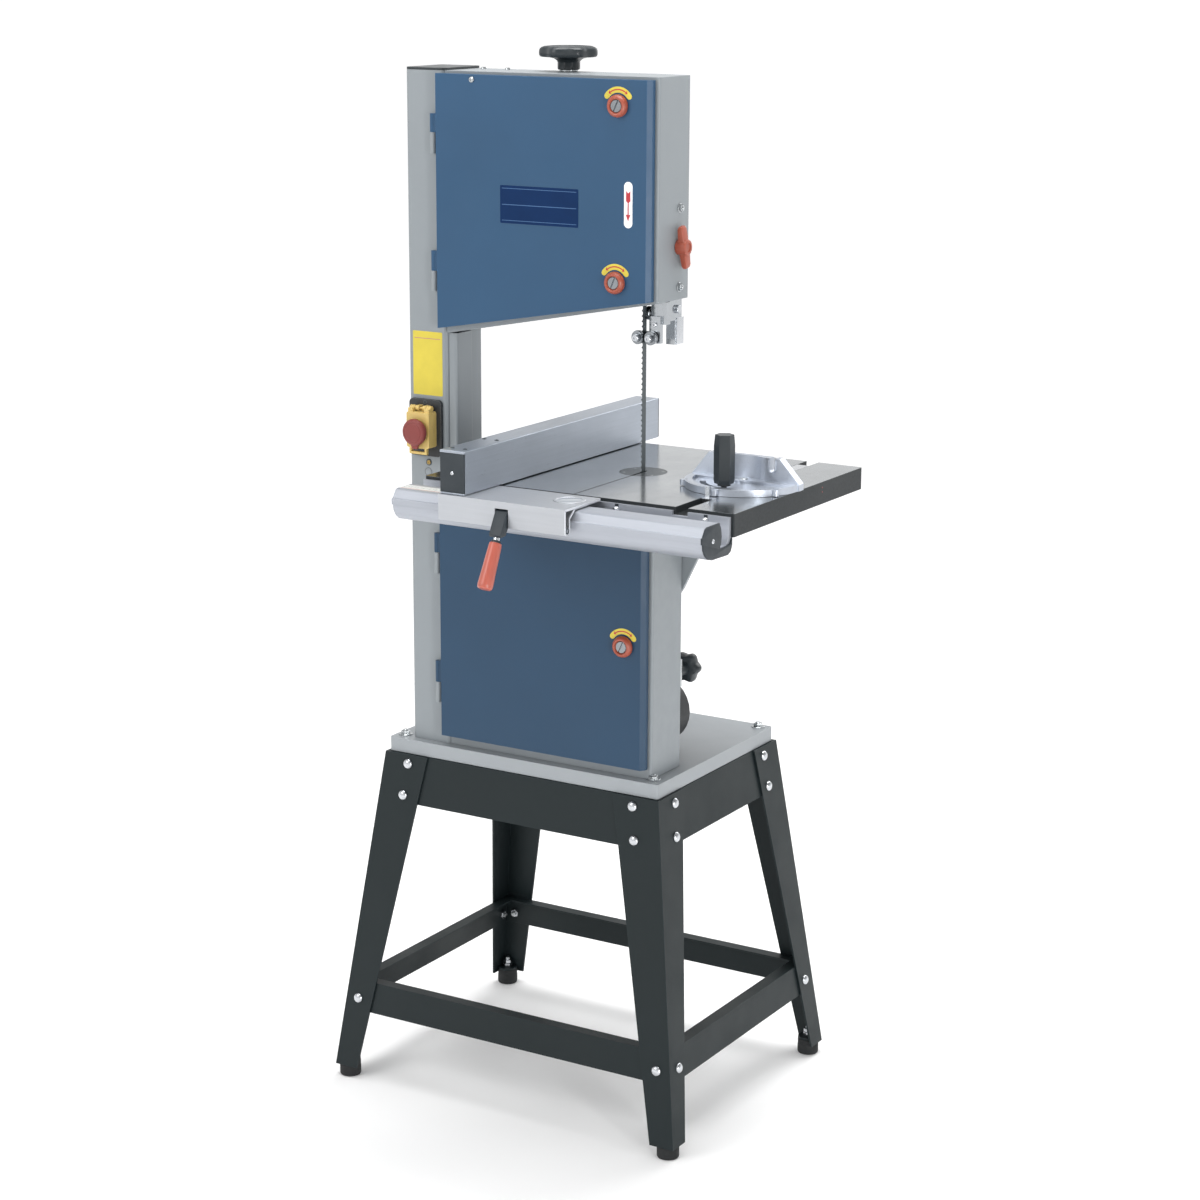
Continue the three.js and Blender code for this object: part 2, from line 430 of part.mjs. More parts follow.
// ================================================================ DRIVE
const wheelTurned = (hub) => turned("y", hub, WHEEL_X, 0, 48);
function wheel(z, back) {
  // rim, web and hub; the lower wheel has the belt pulley behind its hub
  const front = [[10.4, -147.9], [25, -147.9], [25, -136.5], [137, -136.5], [139, -143.6], [149.3, -143.6], [149.3, -122.4], [139, -122.4], [137, -131], [25, -131]];
  const profile = [...front, ...back, [10.4, -147.9]];
  let w = turned("y", profile, WHEEL_X, z, 40);
  for (let i = 0; i < 6; i++) {
    const a = (i / 6) * Math.PI * 2 + Math.PI / 6;
    w = cut(w, rod("y", 29, -150, -126, WHEEL_X + 84 * Math.cos(a), z + 84 * Math.sin(a), 14));
  }
  return w;
}
place(drive, "lower_wheel", wheel(LOWER_Z, [[25, -118.5], [PULLEY_R + 5, -118.5], [PULLEY_R + 5, -116], [PULLEY_R, -113.6], [PULLEY_R, -104.4], [PULLEY_R + 5, -102], [PULLEY_R + 5, -100], [10.4, -100]]), paint.iron(), [WHEEL_X, -133, LOWER_Z]);
place(drive, "upper_wheel", wheel(UPPER_Z, [[25, -121], [23, -119.2], [10.4, -119.2]]), paint.iron(), [WHEEL_X, -133, UPPER_Z]);
const tyre = (z) => turned("y", [[149.6, -143.4], [151.7, -143.4], [WHEEL_R, -133], [151.7, -122.6], [149.6, -122.6], [149.6, -143.4]], WHEEL_X, z, 40);
place(drive, "lower_tyre", tyre(LOWER_Z), paint.rubber(), [WHEEL_X, -133, LOWER_Z]);
place(drive, "upper_tyre", tyre(UPPER_Z), paint.rubber(), [WHEEL_X, -133, UPPER_Z]);

// stub shaft of the lower wheel, through the back wall
place(drive, "lower_wheel_shaft", turned("y", [[0, -153], [14, -153], [16, -151.6], [16, -148.4], [10, -148.4], [10, -99.4], [14, -99.4], [16, -84], [34, -83], [34, HOUSE_BOTTOM.y1 - SHEET - GAP], [12.2, HOUSE_BOTTOM.y1 - SHEET - GAP], [12.2, HOUSE_BOTTOM.y1 + GAP], [18, HOUSE_BOTTOM.y1 + GAP], [18, -63.5], [0, -63]], WHEEL_X, LOWER_Z, 16), paint.steel(), [WHEEL_X, HOUSE_BOTTOM.y1, LOWER_Z]);

// sliding block that carries the upper wheel, and the tilting stub shaft in it
const TILT_Y = -112;
place(drive, "tension_slide", (() => {
  const wall = HOUSE_TOP.y1 - SHEET - GAP;
  const b = join(box(-5.8, 60.6, -98, wall - 0.2, 1300, 1392), box(-5.8, 2, -118, -97, 1326, 1354), box(52.8, 60.6, -118, -97, 1326, 1354));
  return cut(b, rod("z", 6.5, 1320, 1400, KNOB_TOP.x, KNOB_TOP.y, 20), rod("x", 5.3, -20, 80, TILT_Y, UPPER_Z, 16), rod("y", 4.4, -110, -60, WHEEL_X, TRACK_Z, 12));
})(), paint.iron(), [WHEEL_X, -86, UPPER_Z]);
place(drive, "upper_wheel_shaft", join(
  box(2.6, 52.2, -118, -104, 1300, 1356),
  rod("x", 5, -5.8, 60.6, TILT_Y, UPPER_Z, 16),
  turned("y", [[0, -153], [14, -153], [16, -151.6], [16, -148.4], [10, -148.4], [10, -110], [0, -110]], WHEEL_X, UPPER_Z, 24),
), paint.steel(), [WHEEL_X, TILT_Y, UPPER_Z]);

// saw blade: endless band round both wheels
place(drive, "saw_blade", (() => {
  const loop = (r) => [...arc(WHEEL_X, UPPER_Z, r, 0, 180, 30), ...arc(WHEEL_X, LOWER_Z, r, 180, 360, 30)];
  return prism("y", loop(BLADE_R + BLADE_T / 2), BLADE_Y0, BLADE_Y1, [loop(BLADE_R - BLADE_T / 2).reverse()]);
})(), paint.blade(), [BLADE_X, BLADE_Y1, (LOWER_Z + UPPER_Z) / 2]);

// blade tension: hand-knob and screw
place(drive, "tension_knob", (() => {
  const t = HOUSE_TOP.z1;
  const rim = prism("z", lobes(KNOB_TOP.x, KNOB_TOP.y, 41.5, 4, 7, 56), t + 19.5, t + 32);
  const cone = rod("z", 17, t + 13.5, t + 20, KNOB_TOP.x, KNOB_TOP.y, 20, 31);
  const top = rod("z", 36.5, t + 31.5, t + 35, KNOB_TOP.x, KNOB_TOP.y, 24, 33);
  const stem = turned("z", [[0, 1332], [5, 1332], [6, 1334], [6, t + GAP], [12.5, t + GAP], [12.5, t + 2.6], [15.4, t + 2.6], [15.4, t + 14], [0, t + 14]], KNOB_TOP.x, KNOB_TOP.y, 16);
  return cut(join(stem, cone, rim, top), rod("z", 25, t + 33, t + 40, KNOB_TOP.x, KNOB_TOP.y, 20));
})(), paint.black(), [KNOB_TOP.x, KNOB_TOP.y, HOUSE_TOP.z1]);

// wheel tracking: knob behind the housing, its screw bears on the tilting shaft block
place(drive, "tracking_knob", join(
  turned("y", [[0, -103.2], [4, -103.2], [4, -68], [8, -68], [8, -56], [0, -56]], WHEEL_X, TRACK_Z, 16),
  prism("y", lobes(WHEEL_X, TRACK_Z, 22, 4, 6, 48), -58, -40),
), paint.black(), [WHEEL_X, -58, TRACK_Z]);

// motor on its clamp plate behind the lower housing, with terminal box and cable gland
place(drive, "motor", (() => {
  const y = HOUSE_BOTTOM.y1 + GAP;
  const plate = prism("y", [[-126, 574], [0, 574], [10, 645], [150, 650], [208, 650], [208, 690], [10, 705], [-126, 706]], y, y + 6);
  let m = join(plate,
    turned("y", [[0, -119], [8.4, -119], [9, -118], [9, y + 2], [68, y + 2], [70, y + 8], [70, 84], [68, 88], [68, 112], [60, 120], [0, 121]], MOTOR.x, MOTOR.z, 28),
    box(MOTOR.x - 32, MOTOR.x + 32, -20, 60, MOTOR.z + 66, MOTOR.z + 98),
    rod("y", 8, 59, 76, MOTOR.x, MOTOR.z + 84, 16));
  // cooling fins are shallow; the cover's rear has a ring of air slots
  for (let i = 0; i < 8; i++) {
    const a = (i / 8) * Math.PI * 2;
    m = cut(m, rod("y", 6, 112, 130, MOTOR.x + 40 * Math.cos(a), MOTOR.z + 40 * Math.sin(a), 10));
  }
  return cut(m, rod("y", 4.6, -80, -50, KNOB_BACK.x, KNOB_BACK.z, 12), rod("y", 19, y - 1, y + 8, WHEEL_X, LOWER_Z, 20), rod("y", DUST.r + 9, y - 1, y + 8, DUST.x, DUST.z, 24));
})(), paint.black(), [MOTOR.x, HOUSE_BOTTOM.y1, MOTOR.z]);
place(drive, "motor_pulley", turned("y", [[9.4, -116.5], [28, -116.5], [29, -115.5], [MOTOR_PULLEY_R, -113.6], [MOTOR_PULLEY_R, -104.4], [29, -102.5], [28, -101.5], [9.4, -101.5], [9.4, -116.5]], MOTOR.x, MOTOR.z, 32), paint.iron(), [MOTOR.x, -109, MOTOR.z]);
place(drive, "drive_belt", (() => {
  // outer tangent lines round two circles
  const dx = WHEEL_X - MOTOR.x, dz = LOWER_Z - MOTOR.z, d = Math.hypot(dx, dz), base = (Math.atan2(dz, dx) * 180) / Math.PI;
  const loop = (k) => {
    const phi = (Math.acos((PULLEY_R - MOTOR_PULLEY_R) / d) * 180) / Math.PI;
    return [...arc(WHEEL_X, LOWER_Z, PULLEY_R + k, base - (180 - phi), base + (180 - phi), 30), ...arc(MOTOR.x, MOTOR.z, MOTOR_PULLEY_R + k, base + (180 - phi), base + (180 + phi), 14)];
  };
  return prism("y", loop(6.2), -113, -105, [loop(0.8).reverse()]);
})(), paint.rubber(), [0, -109, 670]);
place(drive, "motor_clamp_knob", join(
  turned("y", [[0, -84], [4, -84], [4, -66.8], [9, -66.8], [10, -44], [0, -44]], KNOB_BACK.x, KNOB_BACK.z, 16),
  prism("y", lobes(KNOB_BACK.x, KNOB_BACK.z, 23, 4.5, 6, 48), -44.5, -24),
), paint.black(), [KNOB_BACK.x, -44, KNOB_BACK.z]);

// ================================================================ BLADE GUIDE
const BEARING = { z: 1157.5, r: 9.5, dx: BLADE_T / 2 + GAP + 9.5 };
const THRUST = { y: BLADE_Y1 + GAP + 9.5, z: 1190 };
place(guides, "guide_post", (() => {
  let g = join(
    box(195.5, 209.5, -117, -83.5, 1180, 1480), // post
    box(195.5, 209.5, -102, -83.5, 1146, 1182), // guard leg below it
    box(185, 209.5, -124.5, -115, 1176, 1207), // clamp block
    box(184.6, 202, -129.4, -122, 1150, 1187), // bearing arm, upright
    box(163, 202, -129.4, -125, 1150, 1166), // bearing arm, crossing behind the blade
    rod("x", 3.7, 175.4, 186, THRUST.y, THRUST.z, 14), rod("x", 6, 174.6, 176.4, THRUST.y, THRUST.z, 14));
  for (const s of [-1, 1]) {
    const x = BLADE_X + s * BEARING.dx;
    g = join(g, rod("y", 3.7, -140.5, -125, x, BEARING.z, 14), rod("y", 5.4, -143, -138.3, x, BEARING.z, 14), rod("y", 5.6, -130.6, -129, x, BEARING.z, 14));
  }
  return g;
})(), paint.steel(), [202.5, -100, 1180]);
const bearing = turned("y", [[4, -3.5], [8.9, -3.5], [9.5, -2.9], [9.5, 2.9], [8.9, 3.5], [4, 3.5], [4, -3.5]], 0, 0, 18);
const bl = place(guides, "guide_bearing_left", bearing, paint.steel());
bl.position.set(BLADE_X - BEARING.dx, -134.5, BEARING.z);
copy(guides, "guide_bearing_right", bl, paint.steel(), [BLADE_X + BEARING.dx, -134.5, BEARING.z]);
const bt = copy(guides, "thrust_bearing", bl, paint.steel(), [BLADE_X, THRUST.y, THRUST.z]);
bt.rotation.z = Math.PI / 2;
// winged lock knob on the side of the upper housing
place(guides, "guide_lock_knob", (() => {
  const x = HOUSE_TOP.x1;
  const wing = (s) => hull(...[[x + 3.5, -7, 3], [x + 15, -7, 3], [x + 15, 7, 3], [x + 3.5, 7, 3], [x + 5.5, -6.8, 27], [x + 13.5, -6.8, 27], [x + 13.5, 6.8, 27], [x + 5.5, 6.8, 27], [x + 6.5, -5, 30], [x + 12.5, -5, 30], [x + 12.5, 5, 30], [x + 6.5, 5, 30]].map(([a, b, c]) => [a, s * b, s * c]));
  let k = join(turned("x", [[0, 210.2], [4, 210.2], [5.2, 211.4], [5.2, x + GAP], [10, x + GAP], [11.2, x + 4], [11.2, x + 15], [9.5, x + 17], [0, x + 17]], 0, 0, 24), wing(1), wing(-1));
  return k.rotate([14, 0, 0]).translate([0, LOCK.y, LOCK.z]);
})(), paint.orange(), [HOUSE_TOP.x1, LOCK.y, LOCK.z]);

// ================================================================ TABLE
place(tableGroup, "table", (() => {
  const T = TABLE, zb = T.z - T.depth, zp = T.z - T.plate;
  let t = prism("z", roundRect(T.x0, T.x1, T.y0, T.y1, 2, 2), zb, T.z);
  // ribbed underside: pockets between the rim and the ribs
  const xs = [T.x0 + 9, 30, 108, 253, 325, 366, T.x1 - 9], ys = [T.y0 + 9, -226, -160, -72, -10, T.y1 - 9];
  const rib = 3;
  for (let i = 0; i < xs.length - 1; i++)
    for (let j = 0; j < ys.length - 1; j++) {
      const x0 = xs[i] + (i ? rib : 0), x1 = xs[i + 1] - (i < xs.length - 2 ? rib : 0), y0 = ys[j] + (j ? rib : 0), y1 = ys[j + 1] - (j < ys.length - 2 ? rib : 0);
      if (i === 4) t = cut(t, box(x0, x1, y0, y1, zb - 1, T.z - 18)); // thick strip below the mitre slot
      else t = cut(t, box(x0, x1, y0, y1, zb - 1, zp));
    }
  // trunnion segments under the blade
  const seg = (y0, y1) => {
    const a = (Math.asin((T.z - zp - 1) / TRUNNION_R) * 180) / Math.PI;
    return prism("y", arc(BLADE_X, T.z, TRUNNION_R, 180 + a, 360 - a, 28), y0, y1);
  };
  t = join(t, seg(-155, -145), seg(-87, -77));
  t = cut(t,
    box(SLOT.x - SLOT.w / 2, SLOT.x + SLOT.w / 2, T.y0 - 5, T.y1 + 5, T.z - SLOT.d, T.z + 5),
    rod("z", 33.4, T.z - 3.6, T.z + 5, BLADE_X, -135, 36),
    rod("z", 28, T.z - 20, T.z + 5, BLADE_X, -135, 32),
    box(BLADE_X - 1, BLADE_X + 1, T.y0 - 5, -160, zb - 5, T.z + 5));
  // the front trunnion keeps clear of the opening
  return t;
})(), paint.iron(), [BLADE_X, -135, TABLE.z]);
// the slit widens downwards so the table can tilt round the blade
place(tableGroup, "table_insert", cut(rod("z", 33, TABLE.z - 3.3, TABLE.z - 0.1, BLADE_X, -135, 36), prism("y", [[BLADE_X - 1.8, 960], [BLADE_X + 5.4, 960], [BLADE_X + 5.4, TABLE.z - 3.3], [BLADE_X + 1.8, TABLE.z - 0.1], [BLADE_X + 1.8, 975], [BLADE_X - 1.8, 975]], -172, -125)), paint.black(), [BLADE_X, -135, TABLE.z]);
// cradle on the lower housing that the trunnions turn in, with its back plate
place(body, "trunnion_cradle", (() => {
  const z0 = HOUSE_BOTTOM.z1 + GAP, y1 = -67.6, y0 = HOUSE_BOTTOM.y1 + GAP;
  const seat = (a, b) => cut(prism("y", [[124, z0 + 4], [213, z0 + 4], [206, 893], [200, 901], [180, 912], [150, 922], [145, 922], [124, 905]], a, b), rod("y", TRUNNION_R + 0.4, a - 2, b + 2, BLADE_X, TABLE.z, 64));
  let c = join(
    box(118, 210, -156, y1, z0, z0 + 8),
    seat(-155, -145), seat(-87, -77),
    prism("y", [[100, z0 + 8], [100, 812], [128, 786], [205, 786], [211.5, 796], [243, 860], [222, z0 + 8]], y0, y1));
  return cut(c, box(BLADE_X - 8, BLADE_X + 8, -144, -120, 860, 890));
})(), paint.grey(), [BLADE_X, HOUSE_BOTTOM.y1, HOUSE_BOTTOM.z1]);

// front rail: one extrusion, a closed front section and a flange bolted to the table
const RAIL_OUT = [
  [-319.4, 966], [-324.2, 966], [-324.2, 945], [-333.5, 931], [-352.5, 930.6], [-349.4, 938], [-348.2, 947], [-350, 957], [-354.3, 964.8],
  [-386, 964.8], [-390.5, 963], [-397, 953.2], [-400, 952.5], [-400, 944.2], [-397.2, 943.6], [-396, 936], [-391, 928], [-383, 922], [-372.9, 919.6],
  [-331, 918.4], [-323, 922], [-319.4, 930]];
const RAIL_IN = [[-355.5, 932], [-352.4, 940], [-351.4, 947], [-353, 956], [-356.2, 961.8], [-385.4, 961.8], [-388.6, 960.6], [-394, 951.4], [-394.4, 945], [-393, 937], [-388.6, 930], [-381.6, 924.8], [-372.4, 922.6], [-356, 922.4]];
place(tableGroup, "fence_rail", cut(prism("x", RAIL_OUT, TABLE.x0 + 0.2, 418.5, [RAIL_IN]), box(SLOT.x - 11.5, SLOT.x + 11.5, -330, -318, 960.2, 970)), paint.alu(), [TABLE.x0, -372, 942]);

// rip fence: beam on a carriage that runs on the rail
place(tableGroup, "fence_beam", (() => {
  const F = FENCE, o = roundRect(F.x0, F.x1, F.z0, F.z1, 1.5, 2);
  return prism("y", o, F.y0, F.y1, [roundRect(F.x0 + 2.5, F.x1 - 2.5, F.z0 + 2.5, F.z1 - 2.5, 0.8, 1)]);
})(), paint.alu(), [F0x(), FENCE.y0, FENCE.z0]);
function F0x() { return (FENCE.x0 + FENCE.x1) / 2; }
const CAR = [
  [CARRIAGE.y0, 936.5], [CARRIAGE.y0, 971], [-325.4, 971], [-325.4, 966.9], [-390.5, 966.1], [-402.2, 956.5], [-402.2, 941.5], [-404.5, 937], [-409, 935.4], [-412.5, 935.4]];
const CAR_HOLE = [[CARRIAGE.y0 + 3, 945], [CARRIAGE.y0 + 3, 967.4], [-394, 967.4], [-404.8, 958], [-404.8, 946]];
place(tableGroup, "fence_carriage", cut(prism("x", CAR, CARRIAGE.x0, CARRIAGE.x1, [CAR_HOLE]), box(118, 138.5, -420, -403.8, 930, 961.5)), paint.alu(), [CARRIAGE.x0, CARRIAGE.y0, 971]);
// cam lever that clamps the carriage
const LEVER = { x: 128.2, y: -412.5, z: 953 };
place(tableGroup, "fence_lever", (() => {
  const w = 9.6;
  const cam = prism("x", [[-408.5, 944], [-408.5, 957.5], [-412, 960.2], [-416.5, 958.5], [-424, 945], [-432.5, 928.8], [-430.5, 925.5], [-419.5, 926.5], [-412.5, 936.5]], LEVER.x - w, LEVER.x + w);
  // handle, built along -Z and leaned forward
  const handle = turned("z", [[0, -102], [7.6, -102], [9.7, -100], [10.5, -96], [8.6, -39.5], [6.6, -38.4], [6.6, -35.6], [4.4, -34.6], [4.4, -10], [0, -10]], 0, 0, 14)
    .rotate([-26, 0, 0]).translate([LEVER.x, LEVER.y, LEVER.z]);
  return join(cam, handle);
})(), paint.orange(), [LEVER.x, LEVER.y, LEVER.z]);

// ================================================================ MITRE GAUGE
place(tableGroup, "mitre_bar", (() => {
  const x0 = SLOT.x - 8.9, x1 = SLOT.x + 8.9, z1 = TABLE.z - 0.1;
  return join(box(x0, x1, -252, 28, TABLE.z - 9.4, z1), // bar
    rod("z", 6, z1 - 1, z1 + 4, MITRE.x, MITRE.y, 20), // pivot
    box(MITRE.x - 9, MITRE.x - 3, -240, -236.5, z1 - 3, z1 + 14), // pointer
    box(MITRE.x - 9, MITRE.x - 3, -240, -234, z1 - 3, z1 + 0.6));
})(), paint.steel(), [MITRE.x, MITRE.y, TABLE.z]);
place(tableGroup, "mitre_head", (() => {
  const M = MITRE, z0 = M.z, t = 9.5;
  const plan = [...arc(M.x, M.y, M.r, 180, 360, 28), [M.x + 82, M.y + 14], [M.x - 82, M.y + 14]];
  let h = prism("z", plan, z0, z0 + t);
  // dished floor inside the rim
  h = cut(h, prism("z", [...arc(M.x, M.y + 2, M.r - 10, 188, 352, 22)], z0 + 5.5, z0 + t + 1));
  // upright face with sloping ends
  h = join(h, prism("y", [[M.x - 82, z0], [M.x + 82, z0], [M.x + 82, z0 + 9], [M.x + 52, z0 + 41], [M.x - 56, z0 + 41], [M.x - 82, z0 + 9]], M.y + 4, M.y + 18));
  // scooped middle of the upright, two slots for a wooden facing
  h = cut(h, rod("z", 60, z0 + t, z0 + 60, M.x, M.y - 49, 36));
  for (const s of [-1, 1]) h = cut(h, box(M.x + s * 41 - 3.8, M.x + s * 41 + 3.8, M.y - 10, M.y + 30, z0 + 26, z0 + 50), rod("y", 3.8, M.y - 10, M.y + 30, M.x + s * 41, z0 + 26, 12));
  // boss over the pivot, stop lugs on the rim
  h = join(h, rod("z", 12, z0, z0 + 9, M.x, M.y, 24));
  for (const a of [-150, -90, -30]) {
    const c = Math.cos((a * Math.PI) / 180), s = Math.sin((a * Math.PI) / 180);
    h = join(h, rod("z", 4.8, z0 + 0.6, z0 + t - 0.8, M.x + (M.r + 1) * c, M.y + (M.r + 1) * s, 12));
  }
  // arc slot for the clamp stud, socket for the pivot
  h = cut(h, prism("z", [...arc(M.x, M.y, 59.3, 204, 336, 20), ...arc(M.x, M.y, 50.7, 336, 204, 20)], z0 - 1, z0 + 20), rod("z", 6.4, z0 - 1, z0 + 4.6, M.x, M.y, 20));
  return h;
})(), paint.alu(), [MITRE.x, MITRE.y, MITRE.z]);
place(tableGroup, "mitre_handle", (() => {
  const z = MITRE.z + 9.9, y = MITRE.y - 55;
  const hex = (r0, r1, a, b) => rod("z", r0, a, b, MITRE.x, y, 6, r1);
  return join(turned("z", [[0, TABLE.z - 0.0], [3.8, TABLE.z + 0.0], [3.8, z - 4], [3.8, z], [9, z], [9, z + 3], [6, z + 3], [6, z + 6], [0, z + 6]], MITRE.x, y, 20),
    hex(13, 14.1, z + 3, z + 8), hex(14.1, 14.3, z + 7.9, z + 54), hex(14.3, 12.8, z + 53.9, z + 69));
})(), paint.black(), [MITRE.x, MITRE.y - 55, MITRE.z]);

// ================================================================ SWITCH
const SW = { x: -167, y: COL.y0 - GAP };
place(controls, "switch_housing", (() => {
  let s = join(
    prism("y", roundRect(SW.x - 27.5, SW.x + 27.5, 962.5, 1045, 6, 4), SW.y - 5.5, SW.y),
    prism("y", roundRect(SW.x - 19.5, SW.x + 19.5, 977, 1029, 3, 2), SW.y - 13.5, SW.y - 5));
  for (const a of [-1, 1]) s = join(s, rod("x", 3.6, SW.x + a * 6 - 3, SW.x + a * 6 + 3, SW.y - 14, 1033.6, 14), box(SW.x + a * 6 - 3, SW.x + a * 6 + 3, SW.y - 13.5, SW.y - 5, 1028, 1037));
  return cut(s, rod("y", 6.9, SW.y - 20, SW.y - 6, SW.x, 1017.5, 20), rod("x", 1.9, SW.x - 30, SW.x + 30, SW.y - 14, 1033.6, 12));
})(), paint.black(), [SW.x, SW.y, 1000]);
place(controls, "switch_lid", (() => {
  const y1 = SW.y - 13.8, y0 = SW.y - 24.5;
  let l = prism("y", roundRect(SW.x - 19.5, SW.x + 19.5, 977, 1028.6, 3, 3), y0, y1);
  l = cut(l, box(SW.x - 17.5, SW.x + 17.5, y0 + 2.4, y1 + 1, 979.2, 1026.6));
  for (const a of [-1, 1]) l = join(l, rod("x", 4, SW.x + a * 14 - 4, SW.x + a * 14 + 4, SW.y - 14, 1033.6, 14), box(SW.x + a * 14 - 4, SW.x + a * 14 + 4, y0 + 2, SW.y - 15, 1025.6, 1034));
  l = join(l, rod("x", 1.5, SW.x - 17, SW.x + 17, SW.y - 14, 1033.6, 12));
  // finger loop below
  l = join(l, cut(box(SW.x - 15, SW.x + 15, y0, y0 + 5, 968, 978), box(SW.x - 11.5, SW.x + 11.5, y0 - 1, y0 + 6, 971.4, 976.4)));
  return cut(l, rod("y", 7.5, y0 - 1, y1 + 1, SW.x, 1001, 24));
})(), paint.yellow(), [SW.x, SW.y - 14, 1033.6]);
place(controls, "stop_button", turned("y", [[0, SW.y - 37.5], [13.6, SW.y - 37.5], [14, SW.y - 36.6], [16, SW.y - 37.3], [18.6, SW.y - 35.8], [19.6, SW.y - 33], [19, SW.y - 29.6], [17.4, SW.y - 28.4], [7.1, SW.y - 28.4], [7.1, SW.y - 17.2], [0, SW.y - 17.2]], SW.x, 1001, 22), paint.red(), [SW.x, SW.y - 25, 1001]);
place(controls, "start_button", turned("y", [[0, SW.y - 16.6], [5.4, SW.y - 16.6], [6.5, SW.y - 15.6], [6.5, SW.y - 9.2], [0, SW.y - 9.2]], SW.x, 1017.5, 20), paint.green(), [SW.x, SW.y - 12, 1017.5]);

export default machine;
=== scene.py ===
# Band saw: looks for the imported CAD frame. Lengths inside the helpers are millimetres in the machine's
# own layout (centre of the stand on the floor); P() turns them into the row frame in metres.
import math

import bpy
import bmesh
from mathutils import Matrix, Vector


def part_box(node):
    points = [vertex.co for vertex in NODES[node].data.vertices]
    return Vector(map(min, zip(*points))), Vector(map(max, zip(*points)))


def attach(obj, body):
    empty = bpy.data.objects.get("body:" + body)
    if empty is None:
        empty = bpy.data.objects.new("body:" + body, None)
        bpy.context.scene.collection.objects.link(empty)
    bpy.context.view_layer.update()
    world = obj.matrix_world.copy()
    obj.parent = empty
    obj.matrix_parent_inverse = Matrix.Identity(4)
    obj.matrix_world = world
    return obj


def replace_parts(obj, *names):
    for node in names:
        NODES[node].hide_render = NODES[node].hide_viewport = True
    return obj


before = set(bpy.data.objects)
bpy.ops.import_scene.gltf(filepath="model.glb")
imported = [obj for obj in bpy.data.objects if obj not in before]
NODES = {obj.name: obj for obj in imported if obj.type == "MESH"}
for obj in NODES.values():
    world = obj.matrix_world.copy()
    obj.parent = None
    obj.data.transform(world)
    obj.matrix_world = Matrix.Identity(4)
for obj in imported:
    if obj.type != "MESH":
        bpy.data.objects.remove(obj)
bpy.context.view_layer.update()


_lo, _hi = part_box("base_plate")
OX, OY = (_lo.x + _hi.x) / 2, (_lo.y + _hi.y) / 2


def P(x, y, z):
    return Vector((x / 1000 + OX, y / 1000 + OY, z / 1000))


# ------------------------------------------------------------------ materials
def lin(r, g, b):
    out = []
    for c in (r, g, b):
        c /= 255
        out.append(c / 12.92 if c <= 0.04045 else ((c + 0.055) / 1.055) ** 2.4)
    return (*out, 1.0)


